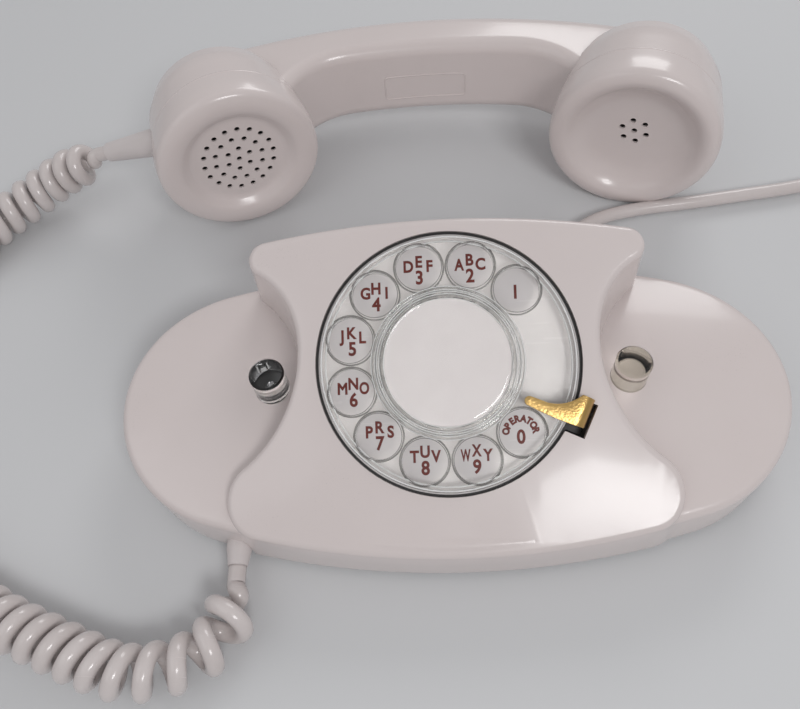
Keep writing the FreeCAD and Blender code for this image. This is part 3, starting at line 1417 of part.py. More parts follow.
# ---- all pieces ----------------------------------------------------------------------------------
def build():
    """Make every piece and write it under its node's name."""
    os.makedirs("parts", exist_ok=True)
    save("housing", make_housing())
    save("base_plate", make_base_plate())
    save("foot_ring", make_foot_ring())
    save("base_screws", *make_base_screws())
    save("counterweight", make_counterweight())
    save("plunger_left", make_plunger(-1))
    save("plunger_right", make_plunger(1))
    save("hook_lever", make_hook_lever())
    save("lever_brackets", *make_lever_brackets())
    save("hook_switch", make_hook_switch())
    network, terminals = make_network()
    save("network_block", network)
    save("terminal_screws", *terminals)
    frame, coil, gong, gong_screw, clapper = make_ringer()
    save("ringer_frame", frame)
    save("ringer_coil", coil)
    save("ringer_gong", gong)
    save("gong_screw", gong_screw)
    save("ringer_clapper", clapper)
    socket, bulb = make_lamp()
    save("lamp_socket", socket)
    save("lamp", bulb)
    save("number_plate", make_number_plate())
    save("dial_frame", make_dial_frame())
    save("dial_screws", *make_dial_screws())
    save("dial_bridge", make_dial_bridge())
    save("finger_stop", make_finger_stop())
    save("finger_wheel", make_finger_wheel())
    save("card", make_card())
    save("card_retainer", make_card_retainer())
    save("dial_shaft", make_dial_shaft())
    save("main_gear", make_main_gear())
    save("return_spring", make_return_spring())
    save("pulse_pinion", make_pulse_pinion())
    save("pulse_cam", make_pulse_cam())
    save("pulse_contacts", make_pulse_contacts())
    save("governor_rotor", make_governor_rotor())
    save("governor_cup", make_governor_cup())
    handle = make_handle()
    save("handset_handle", handle)
    save("handset_boot", make_handset_boot(handle))
    save("receiver_cap", make_receiver_cap())
    save("transmitter_cap", make_transmitter_cap())
    save("receiver_unit", at_cup(make_capsule(), 1))
    save("transmitter_unit", at_cup(make_capsule(), -1))
    save("front_relief", make_relief(HANDSET_EXIT, HANDSET_EXIT_HEADING))
    save("rear_relief", make_relief(LINE_EXIT, LINE_EXIT_HEADING))
    save("handset_cord", make_handset_cord())
    save("line_cord", make_line_cord())
    save("line_cord_coil", make_line_coil())
    save("line_plug", make_line_plug())


build()
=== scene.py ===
"""Finishes and fine detail of a low oval desk telephone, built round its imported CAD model.

Every length is in metres in the model's own frame: +X to the user's right, +Y away, +Z up.
"""

import json
import logging
import math
from dataclasses import dataclass, field
from enum import Enum
from typing import Iterable, Sequence

import bmesh
import bpy
from mathutils import Matrix, Vector
from mathutils.bvhtree import BVHTree

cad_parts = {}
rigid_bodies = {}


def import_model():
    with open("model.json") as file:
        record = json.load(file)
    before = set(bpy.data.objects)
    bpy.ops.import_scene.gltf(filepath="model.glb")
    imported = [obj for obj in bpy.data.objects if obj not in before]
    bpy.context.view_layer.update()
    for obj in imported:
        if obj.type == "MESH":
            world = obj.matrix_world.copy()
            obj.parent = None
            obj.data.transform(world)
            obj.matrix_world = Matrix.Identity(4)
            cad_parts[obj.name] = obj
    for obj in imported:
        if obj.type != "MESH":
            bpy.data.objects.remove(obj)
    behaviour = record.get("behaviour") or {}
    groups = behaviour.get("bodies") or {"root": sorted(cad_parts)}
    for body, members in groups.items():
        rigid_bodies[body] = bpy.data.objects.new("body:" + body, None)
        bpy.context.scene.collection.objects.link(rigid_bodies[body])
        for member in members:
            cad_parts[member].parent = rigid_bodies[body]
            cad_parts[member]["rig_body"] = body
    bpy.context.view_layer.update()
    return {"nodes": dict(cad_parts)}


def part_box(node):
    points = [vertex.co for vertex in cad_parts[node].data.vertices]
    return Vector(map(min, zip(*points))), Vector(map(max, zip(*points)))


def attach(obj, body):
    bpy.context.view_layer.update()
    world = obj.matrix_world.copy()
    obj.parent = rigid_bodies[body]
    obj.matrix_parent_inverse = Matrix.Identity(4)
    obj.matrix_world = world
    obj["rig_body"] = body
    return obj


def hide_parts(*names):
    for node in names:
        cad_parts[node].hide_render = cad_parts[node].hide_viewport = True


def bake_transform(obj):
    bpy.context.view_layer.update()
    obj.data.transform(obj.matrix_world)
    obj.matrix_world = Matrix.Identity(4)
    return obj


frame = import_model()
NODES: dict[str, bpy.types.Object] = frame["nodes"]

log = logging.getLogger("telephone")
logging.basicConfig(level=logging.INFO, format="%(name)s: %(message)s")

Colour = tuple[float, float, float]
Place = tuple[float, float, float]

# Least angle in degrees between two faces that stays an edge, by kind of piece.
MOULDED_EDGE = 32.0
FIRM_EDGE = 40.0
COVER_EDGE = 50.0
ROUND_EDGE = 80.0

# Faces round a full circle.
RIM_SIDES = 128
HOLE_SIDES = 56
CORE_SIDES = 48


# ---- shader node groups --------------------------------------------------------------------------
class Wiring:
    """Short words for adding and joining shader nodes in one tree."""

    def __init__(self, tree: bpy.types.NodeTree) -> None:
        """Keep the tree that nodes are added to."""
        self.tree = tree

    def node(self, kind: str, **settings: object) -> bpy.types.Node:
        """Add a node.

        Args:
            kind: the node's Blender type name.
            settings: attributes set on the node, or values for its inputs by name.

        Returns:
            The new node.
        """
        made = self.tree.nodes.new(kind)
        for name, value in settings.items():
            if hasattr(made, name):
                setattr(made, name, value)
            else:
                made.inputs[name.replace("_", " ")].default_value = value
        return made

    def join(self, source: bpy.types.NodeSocket, target: bpy.types.NodeSocket) -> None:
        """Link one socket to another."""
        self.tree.links.new(source, target)

    def sums(self, operation: str, first: object, second: object) -> bpy.types.NodeSocket:
        """Add a Math node.

        Args:
            operation: the node's operation.
            first: a socket or a number.
            second: a socket or a number.

        Returns:
            The node's output socket.
        """
        made = self.node("ShaderNodeMath", operation=operation)
        for slot, value in zip(made.inputs, (first, second)):
            if isinstance(value, bpy.types.NodeSocket):
                self.join(value, slot)
            else:
                slot.default_value = float(value)
        return made.outputs[0]

    def ramp(self, source: bpy.types.NodeSocket, low: float, high: float) -> bpy.types.NodeSocket:
        """Stretch a value so that low becomes 0 and high becomes 1, clamped.

        Args:
            source: the socket to read.
            low: the value that becomes 0.
            high: the value that becomes 1.

        Returns:
            The stretched value's socket.
        """
        made = self.node("ShaderNodeMapRange", clamp=True)
        made.interpolation_type = "SMOOTHSTEP"
        self.join(source, made.inputs["Value"])
        made.inputs["From Min"].default_value = low
        made.inputs["From Max"].default_value = high
        return made.outputs["Result"]


def new_group(name: str, inputs: dict[str, float], outputs: Sequence[str]) -> bpy.types.NodeTree:
    """Start a shader node group with a Vector input, number inputs and number outputs.

    Args:
        name: the group's name.
        inputs: default of each number input by name.
        outputs: names of the number outputs.

    Returns:
        The group's tree, with only its input and output nodes.
    """
    tree = bpy.data.node_groups.new(name, "ShaderNodeTree")
    tree.interface.new_socket("Vector", in_out="INPUT", socket_type="NodeSocketVector")
    for label, value in inputs.items():
        made = tree.interface.new_socket(label, in_out="INPUT", socket_type="NodeSocketFloat")
        made.default_value = value
    for label in outputs:
        tree.interface.new_socket(label, in_out="OUTPUT", socket_type="NodeSocketFloat")
    tree.nodes.new("NodeGroupInput")
    tree.nodes.new("NodeGroupOutput")
    return tree


class Effects:
    """Node groups that several finishes share, each built once."""

    def __init__(self) -> None:
        """Build every group."""
        self.mottle = self._mottle()
        self.scuffs = self._scuffs()
        self.dust = self._dust()
        self.skin = self._skin()

    @staticmethod
    def _mottle() -> bpy.types.NodeTree:
        """Slow, cloudy variation such as aged plastic shows."""
        tree = new_group("cloudy_mottle", {"Scale": 20.0, "Contrast": 0.2}, ["Factor"])
        w = Wiring(tree)
        come, leave = tree.nodes["Group Input"], tree.nodes["Group Output"]
        noise = w.node("ShaderNodeTexNoise", Detail=5.0, Roughness=0.62)
        w.join(come.outputs["Vector"], noise.inputs["Vector"])
        w.join(come.outputs["Scale"], noise.inputs["Scale"])
        low = w.sums("SUBTRACT", 0.5, come.outputs["Contrast"])
        high = w.sums("ADD", 0.5, come.outputs["Contrast"])
        spread = w.node("ShaderNodeMapRange", clamp=True)
        w.join(noise.outputs["Fac"], spread.inputs["Value"])
        w.join(low, spread.inputs["From Min"])
        w.join(high, spread.inputs["From Max"])
        w.join(spread.outputs["Result"], leave.inputs["Factor"])
        return tree

    @staticmethod
    def _scuffs() -> bpy.types.NodeTree:
        """Fine hairline scratches in two directions."""
        tree = new_group("hairline_scuffs", {"Scale": 60.0, "Amount": 0.3}, ["Mask"])
        w = Wiring(tree)
        come, leave = tree.nodes["Group Input"], tree.nodes["Group Output"]
        lines = []
        for turn, stretch in (((0.4, 0.2, 0.5), 22.0), ((1.1, 0.5, 2.1), 30.0)):
            place = w.node("ShaderNodeMapping")
            place.inputs["Rotation"].default_value = turn
            place.inputs["Scale"].default_value = (1.0, stretch, 1.0)
            w.join(come.outputs["Vector"], place.inputs["Vector"])
            noise = w.node("ShaderNodeTexNoise", Detail=1.0, Roughness=0.4)
            w.join(place.outputs["Vector"], noise.inputs["Vector"])
            w.join(come.outputs["Scale"], noise.inputs["Scale"])
            lines.append(w.ramp(noise.outputs["Fac"], 0.7, 0.8))
        both = w.sums("MAXIMUM", lines[0], lines[1])
        w.join(w.sums("MULTIPLY", both, come.outputs["Amount"]), leave.inputs["Mask"])
        return tree

    @staticmethod
    def _dust() -> bpy.types.NodeTree:
        """Sparse small specks, more of them on faces that look up."""
        tree = new_group("settled_dust", {"Scale": 900.0, "Amount": 0.3}, ["Mask"])
        w = Wiring(tree)
        come, leave = tree.nodes["Group Input"], tree.nodes["Group Output"]
        cells = w.node("ShaderNodeTexVoronoi")
        w.join(come.outputs["Vector"], cells.inputs["Vector"])
        w.join(come.outputs["Scale"], cells.inputs["Scale"])
        specks = w.ramp(cells.outputs["Distance"], 0.2, 0.08)
        patches = w.node("ShaderNodeTexNoise", Detail=3.0)
        patches.inputs["Scale"].default_value = 55.0
        w.join(come.outputs["Vector"], patches.inputs["Vector"])
        drift = w.ramp(patches.outputs["Fac"], 0.5, 0.72)
        facing = w.node("ShaderNodeNewGeometry")
        axes = w.node("ShaderNodeSeparateXYZ")
        w.join(facing.outputs["Normal"], axes.inputs["Vector"])
        upward = w.ramp(axes.outputs["Z"], 0.2, 0.95)
        mask = w.sums("MULTIPLY", w.sums("MULTIPLY", specks, drift), upward)
        w.join(w.sums("MULTIPLY", mask, come.outputs["Amount"]), leave.inputs["Mask"])
        return tree

    @staticmethod
    def _skin() -> bpy.types.NodeTree:
        """Height of a moulded skin: shallow waviness under a fine grain."""
        tree = new_group("moulded_skin", {"Waves": 90.0, "Grain": 1400.0, "Share": 0.3}, ["Height"])
        w = Wiring(tree)
        come, leave = tree.nodes["Group Input"], tree.nodes["Group Output"]
        heights = []
        for label, detail in (("Waves", 2.0), ("Grain", 2.0)):
            noise = w.node("ShaderNodeTexNoise", Detail=detail)
            w.join(come.outputs["Vector"], noise.inputs["Vector"])
            w.join(come.outputs[label], noise.inputs["Scale"])
            heights.append(noise.outputs["Fac"])
        fine = w.sums("MULTIPLY", heights[1], come.outputs["Share"])
        w.join(w.sums("ADD", heights[0], fine), leave.inputs["Height"])
        return tree


# ---- finishes ------------------------------------------------------------------------------------
DUST_COLOUR: Colour = (0.42, 0.39, 0.36)
DUST_SCALE = 900.0
CLOUD_ROUGHNESS = 0.05
COAT_ROUGHNESS = 0.08
GRAIN_SHARE = 0.3
BRUSH_STRETCH = 40.0
BRUSH_SCALE = 260.0
CLEAR_TINT: Colour = (0.93, 0.93, 0.92)


class Kind(Enum):
    """How a finish takes light."""

    SOLID = "solid"
    METAL = "metal"
    CLEAR = "clear"


@dataclass(frozen=True)
class Finish:
    """One finish: its colour and second tint, gloss, and the strengths of the shared effects."""

    name: str
    colour: Colour
    tint: Colour
    roughness: float
    kind: Kind = Kind.SOLID
    mottle_scale: float = 22.0
    mottle_contrast: float = 0.3
    scuff_scale: float = 45.0
    scuff: float = 0.12
    dust: float = 0.0
    waves: float = 90.0
    grain: float = 1400.0
    relief: float = 0.03
    depth: float = 0.0002
    coat: float = 0.0
    ior: float = 1.49
    brushed: float = 0.0
    sheen: float = 0.0
    clarity: float = 1.0

    def _effect(
        self, w: Wiring, tree: bpy.types.NodeTree, seen: bpy.types.NodeSocket, **values: float
    ) -> bpy.types.Node:
        """Place a shared node group with its values.

        Args:
            w: the material's wiring.
            tree: the group.
            seen: the texture coordinates it reads.
            values: its number inputs by name.

        Returns:
            The group's node.
        """
        made = w.node("ShaderNodeGroup")
        made.node_tree = tree
        w.join(seen, made.inputs["Vector"])
        for name, value in values.items():
            made.inputs[name].default_value = value
        return made

    def build(self, effects: Effects) -> bpy.types.Material:
        """Make the material.

        Args:
            effects: the shared node groups.

        Returns:
            The finished material.
        """
        material = bpy.data.materials.new(self.name)
        material.use_nodes = True
        w = Wiring(material.node_tree)
        shader = material.node_tree.nodes["Principled BSDF"]
        seen = w.node("ShaderNodeTexCoord").outputs["Object"]
        cloud = self._effect(
            w, effects.mottle, seen, Scale=self.mottle_scale, Contrast=self.mottle_contrast
        )
        marks = self._effect(w, effects.scuffs, seen, Scale=self.scuff_scale, Amount=self.scuff)
        blend = w.node("ShaderNodeMix", data_type="RGBA")
        blend.inputs["A"].default_value = (*self.colour, 1.0)
        blend.inputs["B"].default_value = (*self.tint, 1.0)
        w.join(cloud.outputs["Factor"], blend.inputs["Factor"])
        colour = blend.outputs["Result"]
        if self.dust > 0.0:
            specks = self._effect(w, effects.dust, seen, Scale=DUST_SCALE, Amount=self.dust)
            dusty = w.node("ShaderNodeMix", data_type="RGBA")
            dusty.inputs["B"].default_value = (*DUST_COLOUR, 1.0)
            w.join(colour, dusty.inputs["A"])
            w.join(specks.outputs["Mask"], dusty.inputs["Factor"])
            colour = dusty.outputs["Result"]
        w.join(colour, shader.inputs["Base Color"])
        rough = w.sums("ADD", self.roughness, marks.outputs["Mask"])
        cloudy = w.sums("MULTIPLY", cloud.outputs["Factor"], CLOUD_ROUGHNESS)
        w.join(w.sums("ADD", rough, cloudy), shader.inputs["Roughness"])
        self._bump(w, effects, seen, shader)
        shader.inputs["IOR"].default_value = self.ior
        if self.coat > 0.0:
            shader.inputs["Coat Weight"].default_value = self.coat
            shader.inputs["Coat Roughness"].default_value = COAT_ROUGHNESS
        if self.sheen > 0.0:
            shader.inputs["Sheen Weight"].default_value = self.sheen
        if self.kind is Kind.METAL:
            shader.inputs["Metallic"].default_value = 1.0
        if self.kind is Kind.CLEAR:
            shader.inputs["Transmission Weight"].default_value = self.clarity
            self._let_lamps_through(w, shader)
        return material

    def _bump(
        self,
        w: Wiring,
        effects: Effects,
        seen: bpy.types.NodeSocket,
        shader: bpy.types.Node,
    ) -> None:
        """Drive the shader's normal from the moulded skin or from brushed lines.

        Args:
            w: the material's wiring.
            effects: the shared node groups.
            seen: the texture coordinates.
            shader: the Principled node.
        """
        skin = self._effect(
            w, effects.skin, seen, Waves=self.waves, Grain=self.grain, Share=GRAIN_SHARE
        )
        height = skin.outputs["Height"]
        if self.brushed > 0.0:
            place = w.node("ShaderNodeMapping")
            place.inputs["Scale"].default_value = (1.0, BRUSH_STRETCH, 1.0)
            w.join(seen, place.inputs["Vector"])
            lines = w.node("ShaderNodeTexNoise", Scale=BRUSH_SCALE, Detail=3.0)
            w.join(place.outputs["Vector"], lines.inputs["Vector"])
            height = w.sums("ADD", height, w.sums("MULTIPLY", lines.outputs["Fac"], self.brushed))
        bump = w.node("ShaderNodeBump", Strength=self.relief, Distance=self.depth)
        w.join(height, bump.inputs["Height"])
        w.join(bump.outputs["Normal"], shader.inputs["Normal"])

    @staticmethod
    def _let_lamps_through(w: Wiring, shader: bpy.types.Node) -> None:
        """Make the shader clear, with light passing it unshadowed.

        Args:
            w: the material's wiring.
            shader: the Principled node.
        """
        leave = w.tree.nodes["Material Output"]
        rays = w.node("ShaderNodeLightPath")
        open_way = w.node("ShaderNodeBsdfTransparent")
        open_way.inputs["Color"].default_value = (*CLEAR_TINT, 1.0)
        either = w.node("ShaderNodeMixShader")
        w.join(rays.outputs["Is Shadow Ray"], either.inputs[0])
        w.join(shader.outputs["BSDF"], either.inputs[1])
        w.join(open_way.outputs["BSDF"], either.inputs[2])
        w.join(either.outputs["Shader"], leave.inputs["Surface"])


class Palette:
    """Every finish of the telephone, each made into a material when it is first asked for."""

    FINISHES: tuple[Finish, ...] = (
        Finish(
            "shell_gloss", (0.69, 0.62, 0.608), (0.65, 0.58, 0.565), 0.2, mottle_scale=14.0,
            mottle_contrast=0.28, scuff=0.03, dust=0.25, relief=0.04, depth=0.0003, coat=0.25,
        ),
        Finish(
            "clear_acrylic", (0.97, 0.97, 0.965), (0.93, 0.93, 0.92), 0.015, Kind.CLEAR,
            scuff=0.05, relief=0.02, depth=0.0001,
        ),
        Finish(
            "smoky_acrylic", (0.90, 0.865, 0.82), (0.84, 0.80, 0.75), 0.02, Kind.CLEAR,
            scuff=0.05, relief=0.02, depth=0.0001,
        ),
        Finish(
            "beige_core", (0.50, 0.45, 0.40), (0.40, 0.355, 0.31), 0.5, mottle_scale=160.0,
            mottle_contrast=0.5, relief=0.1,
        ),
        # Grey acrylic for the beads along the wheel's edges: painted shade for the dark lines that the
        # clear acrylic shows there.
        Finish(
            "edge_shade_acrylic", (0.42, 0.41, 0.40), (0.33, 0.32, 0.31), 0.04, Kind.CLEAR,
            scuff=0.05, relief=0.02, depth=0.0001, clarity=0.6,
        ),
        Finish(
            "plate_white", (0.72, 0.68, 0.675), (0.66, 0.63, 0.63), 0.24, mottle_scale=30.0,
            scuff=0.08, relief=0.02, coat=0.2,
        ),
        Finish(
            "card_paper", (0.64, 0.60, 0.605), (0.59, 0.55, 0.555), 0.6, mottle_scale=120.0,
            grain=2600.0, relief=0.12, depth=0.00008, scuff=0.04,
        ),
        Finish(
            "print_red", (0.17, 0.018, 0.009), (0.12, 0.012, 0.006), 0.42, mottle_scale=260.0,
            scuff=0.08, relief=0.05,
        ),
        Finish(
            "stop_gilt", (0.66, 0.445, 0.175), (0.54, 0.35, 0.125), 0.26, Kind.METAL,
            mottle_scale=90.0, scuff=0.12, waves=70.0, brushed=0.02, relief=0.35, depth=0.0008,
        ),
        Finish(
            "zinc_steel", (0.62, 0.62, 0.63), (0.50, 0.50, 0.52), 0.34, Kind.METAL,
            mottle_scale=70.0, scuff=0.2, brushed=0.6, relief=0.12, depth=0.0001,
        ),
        # Near black steel for the dial frame: painted shade for the dark end of the finger stop's slot.
        Finish(
            "painted_shade_steel", (0.035, 0.035, 0.038), (0.055, 0.052, 0.05), 0.42, Kind.METAL,
            mottle_scale=80.0, scuff=0.15, brushed=0.4, relief=0.1, depth=0.0001,
        ),
        Finish(
            "gear_brass", (0.72, 0.52, 0.24), (0.56, 0.38, 0.16), 0.3, Kind.METAL,
            mottle_scale=80.0, scuff=0.2, brushed=0.5, relief=0.1, depth=0.0001,
        ),
        Finish(
            "cast_weight", (0.045, 0.045, 0.05), (0.075, 0.07, 0.07), 0.62, mottle_scale=150.0,
            grain=800.0, relief=0.35, depth=0.0003,
        ),
        Finish(
            "black_phenolic", (0.018, 0.017, 0.017), (0.03, 0.028, 0.026), 0.36,
            mottle_scale=60.0, scuff=0.18, relief=0.06,
        ),
        Finish(
            "foot_rubber", (0.022, 0.022, 0.023), (0.05, 0.048, 0.046), 0.78, mottle_scale=90.0,
            scuff=0.1, grain=1200.0, relief=0.3, depth=0.0002, sheen=0.2,
        ),
        Finish(
            "pale_rubber", (0.66, 0.61, 0.605), (0.60, 0.55, 0.54), 0.34, mottle_scale=60.0,
            scuff=0.1, relief=0.12, dust=0.2,
        ),
        Finish(
            "cord_jacket", (0.66, 0.605, 0.595), (0.58, 0.525, 0.51), 0.2, mottle_scale=36.0,
            mottle_contrast=0.25, scuff=0.08, dust=0.3, relief=0.05, depth=0.0002, coat=0.35,
        ),
        Finish(
            "enamelled_copper", (0.42, 0.14, 0.05), (0.30, 0.09, 0.03), 0.26, Kind.METAL,
            mottle_scale=200.0, relief=0.05,
        ),
        Finish(
            "contact_gold", (0.86, 0.64, 0.27), (0.74, 0.52, 0.2), 0.18, Kind.METAL,
            mottle_scale=300.0, relief=0.04,
        ),
        Finish(
            "lamp_glass", (0.96, 0.94, 0.88), (0.9, 0.88, 0.8), 0.03, Kind.CLEAR, relief=0.02,
        ),
        Finish(
            "well_shadow", (0.012, 0.011, 0.011), (0.02, 0.018, 0.018), 0.5, mottle_scale=60.0,
            relief=0.05,
        ),
    )

    def __init__(self) -> None:
        """Build the shared effects and remember the finishes by name."""
        self.effects = Effects()
        self.known = {finish.name: finish for finish in self.FINISHES}
        self.made: dict[str, bpy.types.Material] = {}

    def material(self, name: str) -> bpy.types.Material:
        """Find a finish's material, and make it the first time.

        Args:
            name: the finish's name.

        Returns:
            Its material.
        """
        if name not in self.made:
            self.made[name] = self.known[name].build(self.effects)
        return self.made[name]

    def dress(self, piece: bpy.types.Object, name: str) -> None:
        """Give a whole piece one finish.

        Args:
            piece: the object.
            name: the finish's name.
        """
        piece.data.materials.clear()
        piece.data.materials.append(self.material(name))


# ---- making pieces -------------------------------------------------------------------------------
def as_object(name: str, data: bpy.types.ID) -> bpy.types.Object:
    """Put a mesh, curve, camera or lamp in the scene as an object at the origin.

    Args:
        name: the object's name.
        data: what the object shows.

    Returns:
        The object.
    """
    piece = bpy.data.objects.new(name, data)
    bpy.context.scene.collection.objects.link(piece)
    return piece


def plain_mesh(source: bpy.types.Object, name: str) -> bpy.types.Mesh:
    """Mesh of an object with its modifiers applied, or of a curve or text as it looks.

    Args:
        source: the object.
        name: the mesh's name.

    Returns:
        A new mesh.
    """
    bpy.context.view_layer.update()
    seen = source.evaluated_get(bpy.context.evaluated_depsgraph_get())
    mesh = bpy.data.meshes.new_from_object(seen)
    mesh.name = name
    return mesh


def drop(piece: bpy.types.Object) -> None:
    """Remove an object that only helped to make another."""
    bpy.data.objects.remove(piece, do_unlink=True)


def shade(mesh: bpy.types.Mesh, sharp_degrees: float = MOULDED_EDGE) -> None:
    """Shade a mesh smooth, with its sharp edges kept.

    Args:
        mesh: the mesh, which is changed.
        sharp_degrees: the least angle between two faces that stays an edge.
    """
    shape = bmesh.new()
    shape.from_mesh(mesh)
    limit = math.radians(sharp_degrees)
    for face in shape.faces:
        face.smooth = True
    for edge in shape.edges:
        edge.smooth = len(edge.link_faces) == 2 and edge.calc_face_angle(0.0) < limit
    shape.to_mesh(mesh)
    shape.free()


def moulded(node: str, sharp_degrees: float = MOULDED_EDGE) -> bpy.types.Object:
    """Copy a CAD node as one merged, smoothly shaded skin that stands for it.

    Args:
        node: the CAD node's name.
        sharp_degrees: the least angle between two faces that stays an edge.

    Returns:
        The new piece, riding on the node's body.
    """
    source = NODES[node]
    mesh = bpy.data.meshes.new(node + "_skin")
    shape = bmesh.new()
    shape.from_mesh(source.data)
    bmesh.ops.remove_doubles(shape, verts=shape.verts, dist=2e-6)
    shape.to_mesh(mesh)
    shape.free()
    if "custom_normal" in mesh.attributes:
        mesh.attributes.remove(mesh.attributes["custom_normal"])
    shade(mesh, sharp_degrees)
    piece = as_object(node + "_skin", mesh)
    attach(piece, source["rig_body"])
    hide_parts(node)
    return piece


def ring_tube(name: str, line: Sequence[Vector], radius: float, sides: int) -> bpy.types.Mesh:
    """Closed round tube along a line of points, with a cap at each end.

    Args:
        name: the mesh's name.
        line: the points of its centreline.
        radius: the tube's radius.
        sides: faces round the tube.

    Returns:
        The tube's mesh, smooth along its length.
    """
    shape = bmesh.new()
    rings = []
    ahead = (line[1] - line[0]).normalized()
    side = ahead.orthogonal().normalized()
    last = len(line) - 1
    for i, centre in enumerate(line):
        ahead = (line[min(i + 1, last)] - line[max(i - 1, 0)]).normalized()
        side = (side - ahead * side.dot(ahead)).normalized()
        over = ahead.cross(side)
        ring = []
        for k in range(sides):
            turn = 2.0 * math.pi * k / sides
            outward = side * math.cos(turn) + over * math.sin(turn)
            ring.append(shape.verts.new(centre + outward * radius))
        rings.append(ring)
    for here, there in zip(rings, rings[1:]):
        for k in range(sides):
            face = shape.faces.new((here[k], here[(k + 1) % sides], there[(k + 1) % sides], there[k]))
            face.smooth = True
    shape.faces.new(reversed(rings[0]))
    shape.faces.new(rings[-1])
    bmesh.ops.recalc_face_normals(shape, faces=shape.faces)
    mesh = bpy.data.meshes.new(name)
    shape.to_mesh(mesh)
    shape.free()
    return mesh


def step(x: float, low: float, high: float) -> float:
    """Smooth step from 0 at one value to 1 at another.

    Args:
        x: the value.
        low: where the step begins.
        high: where it ends.

    Returns:
        A share from 0 to 1.
    """
    t = min(1.0, max(0.0, (x - low) / (high - low)))
    return t * t * (3.0 - 2.0 * t)


def around(radius: float, degrees: float) -> Vector:
    """Point at a radius and a bearing in the XY plane."""
    turn = math.radians(degrees)
    return Vector((radius * math.cos(turn), radius * math.sin(turn), 0.0))


def softened(corners: Sequence[tuple[float, float]], rounds: int = 3) -> list[tuple[float, float]]:
    """Round a section's corners by cutting them again and again, with its two ends kept.

    Args:
        corners: the section's radius and height pairs.
        rounds: how many times the corners are cut.

    Returns:
        The smooth section.
    """
    line = list(corners)
    for _ in range(rounds):
        cut = [line[0]]
        for (r0, z0), (r1, z1) in zip(line, line[1:]):
            cut.append((0.75 * r0 + 0.25 * r1, 0.75 * z0 + 0.25 * z1))
            cut.append((0.25 * r0 + 0.75 * r1, 0.25 * z0 + 0.75 * z1))
        line = [*cut, line[-1]]
    return line


def turned(name: str, section: Sequence[tuple[float, float]], sides: int = RIM_SIDES) -> bpy.types.Mesh:
    """Closed solid of revolution about Z.

    Args:
        name: the mesh's name.
        section: its radius and height pairs, from the axis and back to it or in a closed loop.
        sides: faces round it.

    Returns:
        Its mesh.
    """
    shape = bmesh.new()
    rings = []
    for radius, height in section:
        if radius < 1e-7:
            rings.append([shape.verts.new((0.0, 0.0, height))])
            continue
        spots = (around(radius, 360.0 * k / sides) for k in range(sides))
        rings.append([shape.verts.new((spot.x, spot.y, height)) for spot in spots])
    for here, there in zip(rings, rings[1:]):
        for k in range(sides):
            after = (k + 1) % sides
            if len(here) == 1 and len(there) == 1:
                break
            if len(here) == 1:
                shape.faces.new((here[0], there[after], there[k]))
            elif len(there) == 1:
                shape.faces.new((here[k], here[after], there[0]))
            else:
                shape.faces.new((here[k], here[after], there[after], there[k]))
    bmesh.ops.recalc_face_normals(shape, faces=shape.faces)
    mesh = bpy.data.meshes.new(name)
    shape.to_mesh(mesh)
    shape.free()
    return mesh


def pierced(name: str, blank: bpy.types.Mesh, cutters: bpy.types.Mesh) -> bpy.types.Mesh:
    """Cut holes through a mesh.

    Args:
        name: the new mesh's name.
        blank: the mesh to cut.
        cutters: closed pegs where the holes go.

    Returns:
        The pierced mesh.
    """
    body = as_object(name + "_blank", blank)
    pegs = as_object(name + "_pegs", cutters)
    cut = body.modifiers.new("holes", "BOOLEAN")
    cut.operation = "DIFFERENCE"
    cut.solver = "EXACT"
    cut.object = pegs
    mesh = plain_mesh(body, name)
    drop(body)
    drop(pegs)
    return mesh


